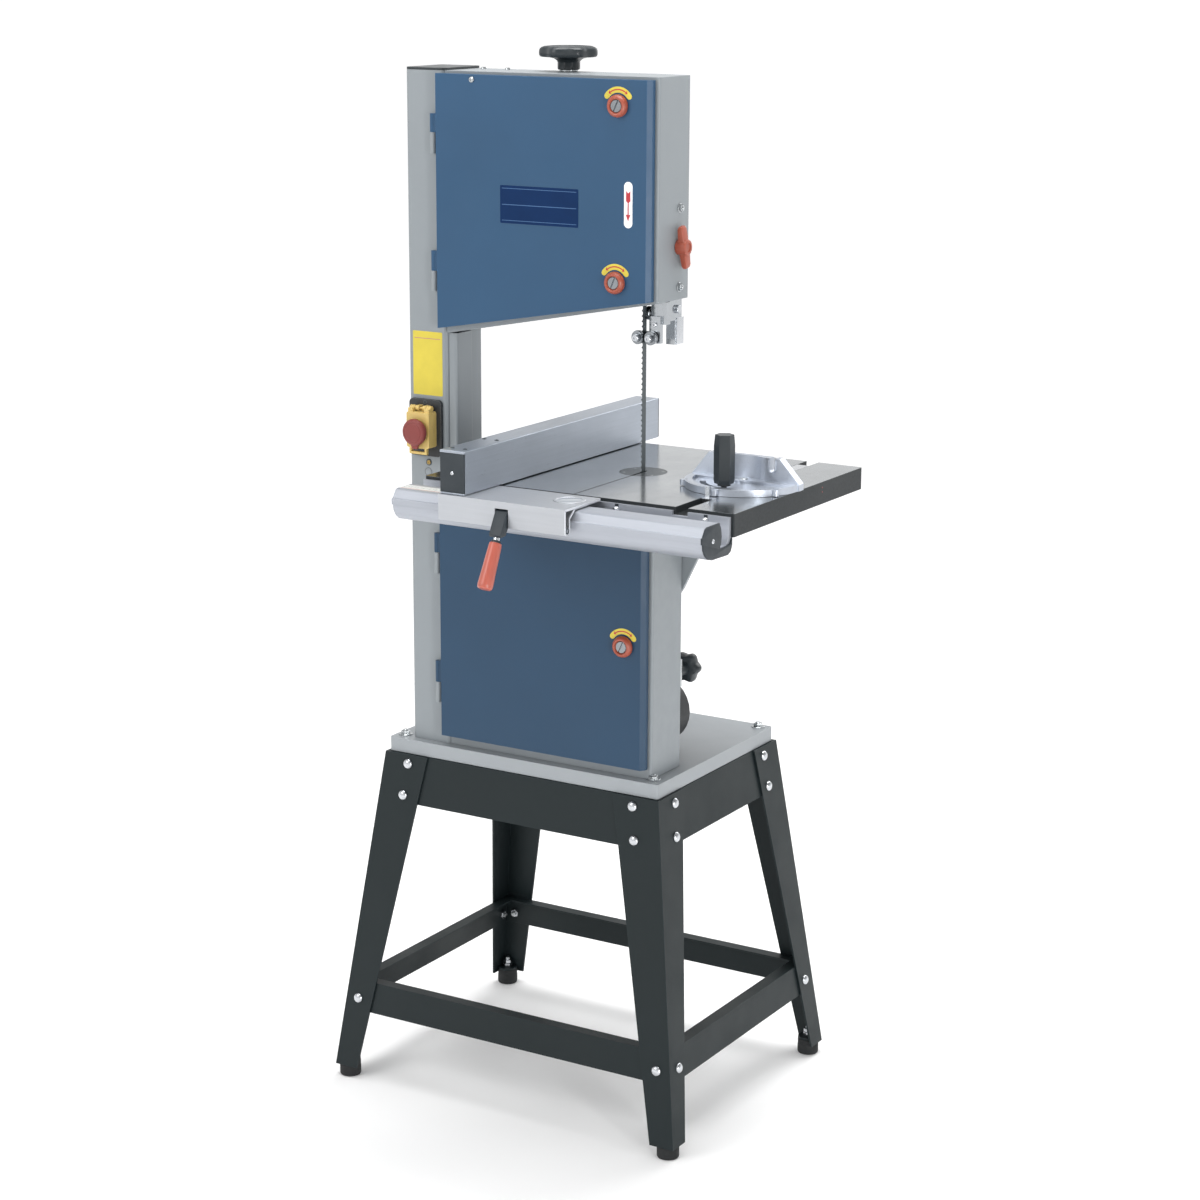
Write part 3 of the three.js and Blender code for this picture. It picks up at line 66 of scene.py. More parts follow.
class Nodes:
    """A small builder for one material's node tree."""

    def __init__(self, name):
        self.mat = bpy.data.materials.new(name)
        self.mat.use_nodes = True
        self.t = self.mat.node_tree
        self.bsdf = next(n for n in self.t.nodes if n.type == "BSDF_PRINCIPLED")
        self.co = self.t.nodes.new("ShaderNodeTexCoord").outputs["Object"]

    def new(self, kind, **props):
        n = self.t.nodes.new(kind)
        for k, v in props.items():
            setattr(n, k, v)
        return n

    def link(self, a, b):
        self.t.links.new(a, b)

    def noise(self, scale, detail=4.0, stretch=(1, 1, 1), rough=0.55, at=(0, 0, 0)):
        m = self.new("ShaderNodeMapping")
        m.inputs["Scale"].default_value = stretch
        m.inputs["Location"].default_value = at
        self.link(self.co, m.inputs["Vector"])
        n = self.new("ShaderNodeTexNoise")
        n.inputs["Scale"].default_value = scale
        n.inputs["Detail"].default_value = detail
        n.inputs["Roughness"].default_value = rough
        self.link(m.outputs["Vector"], n.inputs["Vector"])
        return n.outputs["Fac"]

    def span(self, fac, lo, hi, a=0.3, b=0.7):
        r = self.new("ShaderNodeMapRange")
        for k, v in (("From Min", a), ("From Max", b), ("To Min", lo), ("To Max", hi)):
            r.inputs[k].default_value = v
        self.link(fac, r.inputs["Value"])
        return r.outputs["Result"]

    def math(self, op, a, b=None, c=None):
        n = self.new("ShaderNodeMath", operation=op)
        for i, v in enumerate((a, b, c)):
            if v is None:
                continue
            if isinstance(v, (int, float)):
                n.inputs[i].default_value = v
            else:
                self.link(v, n.inputs[i])
        return n.outputs[0]

    def mix(self, fac, a, b):
        n = self.new("ShaderNodeMix", data_type="RGBA")
        if isinstance(fac, (int, float)):
            n.inputs["Factor"].default_value = fac
        else:
            self.link(fac, n.inputs["Factor"])
        for s, v in ((n.inputs["A"], a), (n.inputs["B"], b)):
            if isinstance(v, tuple):
                s.default_value = v
            else:
                self.link(v, s)
        return next(o for o in n.outputs if o.type == "RGBA")

    def mixf(self, fac, a, b):
        n = self.new("ShaderNodeMix", data_type="FLOAT")
        self.link(fac, n.inputs["Factor"])
        for s, v in ((n.inputs[2], a), (n.inputs[3], b)):
            if isinstance(v, (int, float)):
                s.default_value = v
            else:
                self.link(v, s)
        return n.outputs[0]

    def xyz(self):
        s = self.new("ShaderNodeSeparateXYZ")
        self.link(self.co, s.inputs[0])
        return s.outputs

    def bump(self, height, strength, distance, after=None):
        b = self.new("ShaderNodeBump")
        b.inputs["Strength"].default_value = strength
        b.inputs["Distance"].default_value = distance
        self.link(height, b.inputs["Height"])
        if after is not None:
            self.link(after, b.inputs["Normal"])
        return b.outputs["Normal"]

    def edge(self, radius=0.0012, samples=3):
        """1 on sharp edges, 0 on flats."""
        bv = self.new("ShaderNodeBevel", samples=samples)
        bv.inputs["Radius"].default_value = radius
        g = self.new("ShaderNodeNewGeometry")
        d = self.new("ShaderNodeVectorMath", operation="DOT_PRODUCT")
        self.link(bv.outputs["Normal"], d.inputs[0])
        self.link(g.outputs["Normal"], d.inputs[1])
        return self.span(d.outputs["Value"], 1.0, 0.0, 0.80, 0.985)

    def out(self, color=None, rough=None, metal=None, normal=None, **extra):
        for k, v in (("Base Color", color), ("Roughness", rough), ("Metallic", metal), ("Normal", normal)):
            if v is None:
                continue
            if isinstance(v, (int, float, tuple)):
                self.bsdf.inputs[k].default_value = v
            else:
                self.link(v, self.bsdf.inputs[k])
        for k, v in extra.items():
            self.bsdf.inputs[k.replace("_", " ")].default_value = v
        return self.mat


def shade(c, k):
    return (min(c[0] * k, 1), min(c[1] * k, 1), min(c[2] * k, 1), 1.0)


def paint(name, rgb, rough=0.38, peel=520, depth=0.35, edge=1.35, tint=0.05, coat=0.25, spec=0.35):
    """Sprayed or powder-coated sheet: orange peel, faint colour drift, edges drawn lighter as rubbed wear and as a
    painted highlight, a little dust.
    """
    n = Nodes(name)
    base = lin(*rgb)
    drift = n.noise(5, 5)
    col = n.mix(n.span(drift, 0, 1), shade(base, 1 - tint), shade(base, 1 + tint))
    speck = n.noise(1400, 2, at=(3, 1, 7))
    col = n.mix(n.span(speck, 0, 0.10, 0.62, 0.8), col, shade(base, 1.5))
    # edges drawn lighter: partly rubbed wear, partly a painted highlight; the edge argument sets how much
    edge_wear_and_highlight = n.math("MULTIPLY", n.edge(), n.span(n.noise(55, 6, at=(9, 2, 4)), 0.15, 0.9))
    col = n.mix(edge_wear_and_highlight, col, shade(base, edge))
    peel_h = n.noise(peel, 3, rough=0.45)
    fine = n.noise(peel * 4, 2)
    nrm = n.bump(peel_h, depth, 0.00025)
    nrm = n.bump(fine, depth * 0.5, 0.00006, nrm)
    r = n.math("ADD", n.span(n.noise(14, 6, at=(1, 5, 2)), -0.05, 0.07), rough)
    return n.out(col, r, 0.0, nrm, Coat_Weight=coat, Coat_Roughness=0.3, Specular_IOR_Level=spec)


def metal(name, rgb, rough=0.32, stretch=(1, 1, 1), grain=700, depth=0.25, metallic=1.0, stain=0.10, edge=1.12):
    """Bare metal with a drawn, ground or cast grain."""
    n = Nodes(name)
    base = lin(*rgb)
    g = n.noise(grain, 5, stretch, 0.65)
    g2 = n.noise(grain / 6, 5, stretch, 0.6, (4, 4, 4))
    cloud = n.noise(9, 6, at=(2, 8, 5))
    col = n.mix(n.span(cloud, 0, 1), shade(base, 1 - stain), shade(base, 1 + stain * 0.6))
    col = n.mix(n.span(g2, 0, 0.35), col, shade(base, 0.8))
    # sharp edges drawn lighter: a painted highlight
    col = n.mix(n.math("MULTIPLY", n.edge(0.0008), 0.6), col, shade(base, edge))
    r = n.math("ADD", n.span(g, -0.07, 0.09), rough)
    nrm = n.bump(g, depth, 0.00012)
    nrm = n.bump(g2, depth * 0.6, 0.0002, nrm)
    return n.out(col, r, metallic, nrm)


def plastic(name, rgb, rough=0.42, grain=900, depth=0.25, coat=0.0, sss=0.0, spec=0.5):
    """Moulded plastic with a fine spark-eroded grain."""
    n = Nodes(name)
    base = lin(*rgb)
    col = n.mix(n.span(n.noise(30, 5), 0, 1), shade(base, 0.93), shade(base, 1.06))
    # sharp edges drawn lighter: a painted highlight
    col = n.mix(n.math("MULTIPLY", n.edge(0.001), 0.5), col, shade(base, 1.25))
    r = n.math("ADD", n.span(n.noise(60, 5, at=(3, 3, 1)), -0.06, 0.08), rough)
    nrm = n.bump(n.noise(grain, 3), depth, 0.00012)
    m = n.out(col, r, 0.0, nrm, Coat_Weight=coat, Coat_Roughness=0.15, Specular_IOR_Level=spec)
    if sss:
        n.bsdf.inputs["Subsurface Weight"].default_value = sss
        n.bsdf.inputs["Subsurface Scale"].default_value = 0.002
    return m


M = {
    # in each paint the number after the bump depth sets how much lighter the edges are drawn: rub wear plus a painted
    # highlight
    "blue": paint("blue_paint", (40, 75, 106), 0.36, 430, 0.30, 1.9, 0.055, 0.12, 0.3),
    # the lower door's blue is the upper door's paint drawn darker: painted shade
    "blue_lower_shaded": paint("blue_paint_lower_shaded", (35, 63, 88), 0.38, 430, 0.30, 1.9, 0.055, 0.1, 0.28),
    "grey": paint("grey_paint", (134, 140, 144), 0.40, 480, 0.32, 1.3, 0.025, 0.15, 0.4),
    "grey_base": paint("grey_paint_base", (148, 153, 157), 0.40, 480, 0.32, 1.25, 0.03, 0.15, 0.4),
    "stand": paint("stand_paint", (28, 36, 38), 0.46, 760, 0.45, 2.6, 0.06, 0.03, 0.22),
    "motor": paint("motor_paint", (40, 44, 48), 0.42, 500, 0.35, 1.8, 0.05, 0.1, 0.3),
    "black": plastic("black_plastic", (35, 42, 46), 0.34, 800, 0.25),
    "satin": plastic("satin_black", (34, 42, 48), 0.5, 600, 0.45),
    "rubber": plastic("rubber", (30, 32, 33), 0.78, 500, 0.5),
    "orange": plastic("orange_plastic", (160, 78, 58), 0.36, 700, 0.15, 0.15, 0.06),
    "handle": plastic("handle_plastic", (172, 86, 70), 0.34, 700, 0.12, 0.2, 0.08),
    "yellow": plastic("yellow_plastic", (212, 184, 110), 0.42, 900, 0.2, 0.05, 0.04),
    "red": plastic("red_plastic", (130, 54, 50), 0.45, 900, 0.25, 0.05, 0.04),
    "green": plastic("green_plastic", (40, 134, 74), 0.4, 900, 0.2),
    "steel": metal("bright_steel", (206, 209, 213), 0.2, (1, 1, 1), 700, 0.08, stain=0.06),
    # lighter than the milled carriage: sawn metal plus a painted highlight on the end face
    "sawn": metal("sawn_alu_painted_highlight", (232, 235, 240), 0.5, (1, 20, 20), 80, 0.1, 0.4, stain=0.03),
    "bearing": metal("bearing_steel", (150, 154, 158), 0.24, (1, 1, 1), 700, 0.08, stain=0.08),
    "zinc": metal("zinc_steel", (188, 192, 194), 0.26, (1, 1, 1), 500, 0.12, stain=0.09),
    "post": metal("plated_steel", (184, 188, 192), 0.17, (1, 1, 1), 900, 0.06, stain=0.05),
    "alu_x": metal("anodised_x", (172, 176, 184), 0.46, (0.5, 22, 22), 60, 0.10, 0.6, stain=0.04),
    "alu_y": metal("anodised_y", (170, 177, 187), 0.34, (22, 0.5, 22), 60, 0.14, 0.9, stain=0.08),
    "alu_mill": metal("milled_alu", (186, 189, 194), 0.4, (0.6, 20, 20), 60, 0.16, 0.75, stain=0.05),
    "cast_alu": metal("cast_alu", (192, 198, 208), 0.33, (1, 1, 1), 620, 0.2, 0.85, stain=0.05),
    "cast_iron": metal("cast_iron", (118, 121, 124), 0.5, (1, 1, 1), 420, 0.7, 0.85, 0.15),
    "dark_steel": metal("dark_steel", (92, 98, 101), 0.34, (8, 8, 0.7), 90, 0.2),
    "label_white": plastic("label_white", (236, 238, 242), 0.35, 900, 0.05),
    "label_yellow": plastic("label_yellow", (206, 188, 64), 0.38, 900, 0.05),
    "label_pale": plastic("label_pale", (206, 208, 206), 0.38, 900, 0.05),
    "label_rose": plastic("label_rose", (178, 120, 118), 0.4, 900, 0.05),
    "label_blue": plastic("label_blue", (58, 96, 140), 0.36, 900, 0.05),
    "label_red": plastic("label_red", (176, 40, 50), 0.38, 900, 0.05),
    "label_navy": plastic("label_navy", (8, 40, 80), 0.45, 900, 0.05, spec=0.12),
    "brass": metal("brass", (176, 150, 96), 0.3, (1, 1, 1), 500, 0.1),
}


def table_metal():
    """Ground top and slot, black enamel everywhere else."""
    n = Nodes("table_iron")
    lo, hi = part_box("table")
    p = n.xyz()
    slot = P(345.5, 0, 0).x
    top = n.math("GREATER_THAN", p[2], hi.z - 0.0002)
    in_slot = n.math("MULTIPLY", n.math("LESS_THAN", n.math("ABSOLUTE", n.math("SUBTRACT", p[0], slot)), 0.0093), n.math("GREATER_THAN", p[2], hi.z - 0.0105))
    up = n.new("ShaderNodeNewGeometry")
    s = n.new("ShaderNodeSeparateXYZ")
    n.link(up.outputs["True Normal"], s.inputs[0])
    flat = n.math("GREATER_THAN", s.outputs[2], 0.7)
    bright = n.math("MAXIMUM", n.math("MULTIPLY", top, 1.0), n.math("MULTIPLY", in_slot, flat))
    grind = n.noise(70, 5, (0.7, 26, 1), 0.65)
    swirl = n.noise(16, 5, (3, 1, 1), 0.6, (5, 2, 0))
    cloud = n.noise(6, 6, at=(1, 1, 1))
    iron = n.mix(n.span(cloud, 0, 1), lin(150, 154, 157), lin(174, 178, 181))
    iron = n.mix(n.span(grind, 0, 0.3), iron, lin(128, 132, 135))
    black = n.mix(n.span(n.noise(300, 5), 0, 1), lin(24, 29, 31), lin(38, 43, 46))
    # edges of the black enamel drawn light grey: a painted highlight
    black = n.mix(n.math("MULTIPLY", n.edge(), 0.4), black, lin(104, 108, 110))
    col = n.mix(bright, black, iron)
    rough = n.mixf(bright, n.math("ADD", n.span(cloud, -0.04, 0.06), 0.5), n.math("ADD", n.span(n.math("ADD", n.math("MULTIPLY", grind, 0.5), n.math("MULTIPLY", swirl, 0.5)), -0.05, 0.06), 0.165))
    h = n.mixf(bright, n.noise(380, 4), grind)
    return n.out(col, rough, n.math("MULTIPLY", bright, 0.95), n.bump(h, 0.2, 0.0001), Specular_IOR_Level=0.35)


def two_tone(name, a, b, test):
    """One node, two finishes, split by where the point lies: test(builder, xyz) is 1 for b."""
    n = Nodes(name)
    f = test(n, n.xyz())
    (ca, ra, ma), (cb, rb, mb) = a, b
    var = n.span(n.noise(40, 6), 0.97, 1.03)
    col = n.mix(f, lin(*ca), lin(*cb))
    mul = n.new("ShaderNodeVectorMath", operation="SCALE")
    n.link(col, mul.inputs[0])
    n.link(var, mul.inputs["Scale"])
    # sharp edges pulled toward light grey: a painted highlight
    col = n.mix(n.math("MULTIPLY", n.edge(0.001), 0.3), mul.outputs[0], (0.5, 0.5, 0.5, 1))
    r = n.mixf(f, ra, rb)
    r = n.math("ADD", r, n.span(n.noise(70, 5, at=(3, 1, 2)), -0.06, 0.08))
    return n.out(col, r, n.mixf(f, ma, mb), n.bump(n.noise(600, 3), 0.3, 0.00014))


# ------------------------------------------------------------------ mesh building
def smooth_group():
    g = bpy.data.node_groups.new("smooth_by_angle", "GeometryNodeTree")
    g.interface.new_socket("Geometry", in_out="INPUT", socket_type="NodeSocketGeometry")
    g.interface.new_socket("Geometry", in_out="OUTPUT", socket_type="NodeSocketGeometry")
    i, o = g.nodes.new("NodeGroupInput"), g.nodes.new("NodeGroupOutput")
    ang = g.nodes.new("GeometryNodeInputMeshEdgeAngle")
    cmp_ = g.nodes.new("FunctionNodeCompare")
    cmp_.operation = "LESS_EQUAL"
    cmp_.inputs[1].default_value = math.radians(32)
    f, e = g.nodes.new("GeometryNodeSetShadeSmooth"), g.nodes.new("GeometryNodeSetShadeSmooth")
    f.domain, e.domain = "FACE", "EDGE"
    g.links.new(ang.outputs[0], cmp_.inputs[0])
    g.links.new(i.outputs[0], f.inputs[0])
    g.links.new(f.outputs[0], e.inputs[0])
    g.links.new(cmp_.outputs[0], e.inputs["Shade Smooth"])
    g.links.new(e.outputs[0], o.inputs[0])
    return g


SMOOTH = smooth_group()


def smooth(o):
    m = o.modifiers.new("smooth", "NODES")
    m.node_group = SMOOTH


def bevel(o, mm, seg=2, angle=34):
    m = o.modifiers.new("edges", "BEVEL")
    m.width = mm / 1000
    m.segments = seg
    m.limit_method = "ANGLE"
    m.angle_limit = math.radians(angle)
    m.use_clamp_overlap = True
    m.miter_outer = "MITER_ARC"


def dress(node, mat, edge_mm=0.0, seg=2):
    """A CAD node gets its finish; its own mesh stays as it is."""
    o = NODES[node]
    o.data.materials.clear()
    o.data.materials.append(mat)
    if edge_mm:
        w = o.modifiers.new("joined", "WELD")
        w.merge_threshold = 1e-5
        bevel(o, edge_mm, seg)
    smooth(o)
    if edge_mm:
        f = o.modifiers.new("flat_normals", "WEIGHTED_NORMAL")
        f.mode = "FACE_AREA"
        f.weight = 100
        f.keep_sharp = True
    return o


def piece(name, verts, faces, mat, body, edge_mm=0.0, seg=2, fix=True):
    me = bpy.data.meshes.new(name)
    me.from_pydata([P(*v) for v in verts], [], faces)
    bm = bmesh.new()
    bm.from_mesh(me)
    bmesh.ops.remove_doubles(bm, verts=bm.verts, dist=1e-7)
    if fix:
        bmesh.ops.recalc_face_normals(bm, faces=bm.faces)
    bm.to_mesh(me)
    bm.free()
    me.materials.append(mat)
    o = bpy.data.objects.new(name, me)
    bpy.context.scene.collection.objects.link(o)
    if edge_mm:
        bevel(o, edge_mm, seg)
    smooth(o)
    if body:
        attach(o, body)
    return o


def basis(axis):
    w = Vector(axis).normalized()
    h = Vector((0, 0, 1)) if abs(w.z) < 0.9 else Vector((1, 0, 0))
    u = h.cross(w).normalized()
    return u, w.cross(u), w


def turned(name, at, axis, prof, mat, body, n=40, lobes=0, phase=0.0, edge_mm=0.0, ring=False, start=0.0):
    """Rings of (radius, height[, lobe depth]) round an axis; height is along the axis from at. ring closes the profile on itself."""
    u, v, w = basis(axis)
    c = Vector(at)
    verts, rows = [], []
    for p in prof:
        r, h, dep = (*p, 0)[:3]
        if r < 1e-6:
            rows.append([len(verts)])
            verts.append(tuple(c + w * h))
            continue
        row = []
        for i in range(n):
            a = 2 * math.pi * i / n + start
            k = r - dep * (0.5 - 0.5 * math.cos(lobes * a + phase))
            row.append(len(verts))
            verts.append(tuple(c + w * h + u * (k * math.cos(a)) + v * (k * math.sin(a))))
        rows.append(row)
    faces = []
    pairs = list(zip(rows, rows[1:]))
    if ring:
        pairs.append((rows[-1], rows[0]))
    for a, b in pairs:
        if len(a) == 1 and len(b) == 1:
            continue
        for i in range(n):
            j = (i + 1) % n
            if len(a) == 1:
                faces.append((a[0], b[i], b[j]))
            elif len(b) == 1:
                faces.append((a[i], b[0], a[j]))
            else:
                faces.append((a[i], b[i], b[j], a[j]))
    if not ring:
        if len(rows[0]) > 1:
            faces.append(tuple(rows[0]))
        if len(rows[-1]) > 1:
            faces.append(tuple(rows[-1]))
    return piece(name, verts, faces, mat, body, edge_mm)


def prism(name, outline, axis, a, b, mat, body, edge_mm=0.0, seg=2):
    """An outline in the other two axes, in X, Y, Z order, from a to b along axis."""
    def at(p, q, h):
        return {"x": (h, p, q), "y": (p, h, q), "z": (p, q, h)}[axis]
    n = len(outline)
    verts = [at(p, q, a) for p, q in outline] + [at(p, q, b) for p, q in outline]
    faces = [tuple(range(n)), tuple(range(n, 2 * n))] + [(i, (i + 1) % n, n + (i + 1) % n, n + i) for i in range(n)]
    return piece(name, verts, faces, mat, body, edge_mm, seg)


def rect(x0, x1, y0, y1, r=0.0, n=6):
    if r <= 0:
        return [(x0, y0), (x1, y0), (x1, y1), (x0, y1)]
    out = []
    for cx, cy, s in ((x0 + r, y0 + r, 180), (x1 - r, y0 + r, 270), (x1 - r, y1 - r, 0), (x0 + r, y1 - r, 90)):
        for i in range(n + 1):
            t = math.radians(s + 90 * i / n)
            out.append((cx + r * math.cos(t), cy + r * math.sin(t)))
    return out


def block(name, x, y, z, mat, body, edge_mm=0.5, seg=2):
    return prism(name, rect(*x, *y), "z", z[0], z[1], mat, body, edge_mm, seg)


def hull(name, pts, mat, body, edge_mm=1.0, seg=3):
    bm = bmesh.new()
    for p in pts:
        bm.verts.new(p)
    r = bmesh.ops.convex_hull(bm, input=bm.verts)
    bmesh.ops.dissolve_limit(bm, angle_limit=math.radians(2), verts=bm.verts, edges=bm.edges)
    bm.verts.index_update()
    verts = [tuple(v.co) for v in bm.verts]
    faces = [tuple(v.index for v in f.verts) for f in bm.faces]
    bm.free()
    return piece(name, verts, faces, mat, body, edge_mm, seg)


def carve(o, *cutters):
    """o minus the cutters, settled into o's mesh; the cutters go away."""
    mods = list(o.modifiers)
    for m in mods:
        m.show_viewport = False
    for c in cutters:
        b = o.modifiers.new("cut", "BOOLEAN")
        b.operation, b.solver, b.object = "DIFFERENCE", "EXACT", c
    bpy.context.view_layer.update()
    dg = bpy.context.evaluated_depsgraph_get()
    me = bpy.data.meshes.new_from_object(o.evaluated_get(dg))
    for m in [m for m in o.modifiers if m.type == "BOOLEAN"]:
        o.modifiers.remove(m)
    old = o.data
    o.data = me
    bpy.data.meshes.remove(old)
    for m in mods:
        m.show_viewport = True
    for c in cutters:
        bpy.data.objects.remove(c)
    return o


# ------------------------------------------------------------------ fasteners
_count = {}


def tag(base):
    _count[base] = _count.get(base, 0) + 1
    return f"{base}_{_count[base]:02d}"


def dome_bolt(at, axis, body, r=7.7):
    turned(tag("dome_head"), at, axis, [(0, -0.05), (r - 0.3, -0.05), (r, 0.3), (r, 1.1), (r * 0.93, 2.3), (r * 0.78, 3.5), (r * 0.55, 4.5), (r * 0.28, 5.0), (0, 5.15)], M["steel"], body, 32)


def inner_nut(at, axis, body, depth=5.9):
    """Nut and bolt end on the inner side of two bolted sheets."""
    n = -Vector(axis).normalized()
    a = tuple(Vector(at) + n * depth)
    turned(tag("inner_nut"), a, tuple(n), [(0, 0.2), (7.2, 0.2), (7.2, 5.0), (6.2, 5.8), (0, 5.8)], M["steel"], body, 6, start=0.4)
    turned(tag("bolt_end"), a, tuple(n), [(0, 5.6), (3.9, 5.6), (3.9, 9.0), (3.2, 9.7), (0, 9.7)], M["zinc"], body, 16)


def hex_bolt(at, axis, body, r=7.5, h=5.0, washer=9.5, stud=0.0):
    turned(tag("washer"), at, axis, [(0, 0), (washer - 0.4, 0), (washer, 0.3), (washer, 1.1), (washer - 0.5, 1.5), (0, 1.5)], M["zinc"], body, 28)
    turned(tag("hex_head"), at, axis, [(0, 1.4), (r, 1.4), (r, 1.4 + h - 0.8), (r * 0.86, 1.4 + h), (0, 1.4 + h)], M["zinc"], body, 6, start=0.3)
    if stud:
        turned(tag("stud_end"), at, axis, [(0, h), (r * 0.5, h), (r * 0.5, 1 + h + stud), (r * 0.38, 1.6 + h + stud), (0, 1.6 + h + stud)], M["zinc"], body, 18)


def pan_screw(at, axis, body, r=4.0, h=2.4, mat=None):
    mat = mat or M["zinc"]
    o = turned(tag("screw_head"), at, axis, [(0, -0.05), (r, -0.05), (r, h * 0.3), (r * 0.86, h * 0.75), (r * 0.55, h), (0, h)], mat, None, 24)
    u, v, w = basis(axis)
    cut = []
    for a, b in ((u, v), (v, u)):
        c = Vector(at) + w * h
        pts = [tuple(c + a * (s * r * 0.55) + b * (t * r * 0.13) + w * q) for s in (-1, 1) for t in (-1, 1) for q in (-h * 0.6, 1)]
        cut.append(hull("cutter", pts, mat, None, 0))
    carve(o, *cut)
    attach(o, body)
    return o


def socket_screw(at, axis, body, r=5.0, h=5.0):
    o = turned(tag("socket_head"), at, axis, [(0, -0.05), (r, -0.05), (r, h - 0.4), (r - 0.4, h), (0, h)], M["steel"], None, 26)
    c = turned("cutter", at, axis, [(0, h * 0.35), (r * 0.52, h * 0.35), (r * 0.52, h + 2), (0, h + 2)], M["steel"], None, 6)
    carve(o, c)
    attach(o, body)
    return o


# ================================================================== stand
def edge_at(z):
    t = (z - 511.5) / (17.8 - 511.5)
    return 234.5 + (296.3 - 234.5) * t, 178.8 + (235.5 - 178.8) * t


for n in NODES:
    if n.startswith("stand_leg"):
        dress(n, M["stand"], 1.3, 3)
    elif n.startswith(("apron", "stretcher")):
        dress(n, M["stand"], 1.0, 3)
NY, NX = Vector((0, 493.7, 56.7)).normalized(), Vector((493.7, 0, 61.8)).normalized()
for sx in (-1, 1):
    for sy in (-1, 1):
        for z, d in ((498, 43), (450, 43), (127.5, 22)):
            x, y = edge_at(z)
            dome_bolt((sx * (x - d), sy * y, z), (0, sy * NY.y, NY.z), "frame")
            inner_nut((sx * (x - d), sy * y, z), (0, sy * NY.y, NY.z), "frame")
        for z, d in ((498, 45), (450, 45), (128, 25)):
            x, y = edge_at(z)
            dome_bolt((sx * x, sy * (y - d), z), (sx * NX.x, 0, NX.z), "frame")
            inner_nut((sx * x, sy * (y - d), z), (sx * NX.x, 0, NX.z), "frame")
for sx in (-1, 1):
    for sy in (-1, 1):
        n = "foot_" + ("front" if sy < 0 else "back") + ("_left" if sx < 0 else "_right")
        cx, cy = sx * 279.5, sy * 220.5
        pad = turned(n + "_pad", (cx, cy, 0), (0, 0, 1), [(0, 0.05), (13.6, 0.05), (15.4, 0.9), (16.1, 2.4), (16.15, 14.4), (15.6, 16.6), (15.2, 17.4), (0, 17.4)], M["rubber"], "frame", 40)
        fx, fy = edge_at(24.2)
        qx, qy = fx - 3.35, fy - 3.35
        ring = []
        for i in range(48):
            t = 2 * math.pi * i / 48
            ring.append((sx * min(279.5 + 15.9 * math.cos(t), qx), sy * min(220.5 + 15.9 * math.sin(t), qy)))
        prism(n + "_cup", ring, "z", 17.0, 24.1, M["rubber"], "frame", 0.9, 3)
        for k, z in (("low", 27.9), ("top", 34.3)):
            turned(n + "_nut_" + k, (cx, cy, z), (0, 0, 1), [(0, 0), (7.0, 0), (7.4, 0.5), (7.4, 4.9), (6.8, 5.4), (0, 5.4)], M["steel"], "frame", 6, start=0.2 if k == "top" else 0.0)
        turned(n + "_stud", (cx, cy, 0), (0, 0, 1), [(0, 20), (4, 20), (4, 43.6), (3.4, 44.1), (0, 44.1)], M["zinc"], "frame", 20)
        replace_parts(pad, n)

# ================================================================== body
dress("base_plate", M["grey_base"], 1.4, 3)
dress("column", M["grey"], 0.7)
dress("column_cap", M["black"], 0.8)
dress("blade_return_guard", M["grey"], 0.3)
dress("upper_wheel_housing", M["grey"], 2.0, 3)
housing = two_tone("housing_grey", ((134, 140, 144), 0.4, 0.0), ((34, 36, 38), 0.5, 0.0), lambda n, p: n.math("GREATER_THAN", p[1], P(0, -73.7, 0).y))
dress("lower_wheel_housing", housing, 1.6, 3)
dress("trunnion_cradle", M["grey"], 0.7)
dress("upper_door", M["blue"], 1.6, 3)
dress("lower_door", M["blue_lower_shaded"], 1.6, 3)
for x, y in ((-216, -153), (211, -153), (213, 160), (-216, 160)):
    hex_bolt((x, y, 533.5), (0, 0, 1), "frame", 7.0, 5, 10.5, 1.5)

# upper housing: nuts on the side, screws on top
hex_bolt((214.1, -100.3, 1333.6), (1, 0, 0), "frame", 5.2, 3.6, 6.5, 1.5)
hex_bolt((214.1, -100.6, 1226), (1, 0, 0), "frame", 5.2, 3.6, 6.5, 1.5)
pan_screw((-71.3, -88.4, 1510.4), (0, 0, 1), "frame", 4.5, 2.6)
pan_screw((-112, -88.4, 1510.4), (0, 0, 1), "frame", 4.5, 2.6)
pan_screw((-76.7, -172, 1499.8), (0, -1, 0), "upper_door", 4.2, 2.4)
turned("column_screw_cup", (-165, -157.7, 952.5), (0, -1, 0), [(3.4, -0.1), (5.0, -0.1), (5.0, 0.5), (4.4, 0.9), (3.4, 0.6)], M["dark_steel"], "frame", 28, ring=True)
pan_screw((-165, -157.7, 952.5), (0, -1, 0), "frame", 3.4, 1.8, M["brass"])
turned("column_plug", (-166, -157.7, 938.5), (0, -1, 0), [(0, -0.1), (5.2, -0.1), (5.2, 0.3), (4.6, 0.6), (0, 0.7)], M["grey"], "frame", 28)
turned("column_plug_ring", (-166, -157.7, 938.5), (0, -1, 0), [(5.2, -0.1), (6.3, -0.1), (6.3, 0.12), (5.2, 0.12)], M["cast_iron"], "frame", 28, ring=True)

# ------------------------------------------------------------------ plates and stickers, all plain
def sticker(name, outline, y, mat, body, t=0.25):
    return prism(name, outline, "y", y - t, y, mat, body, 0.0)


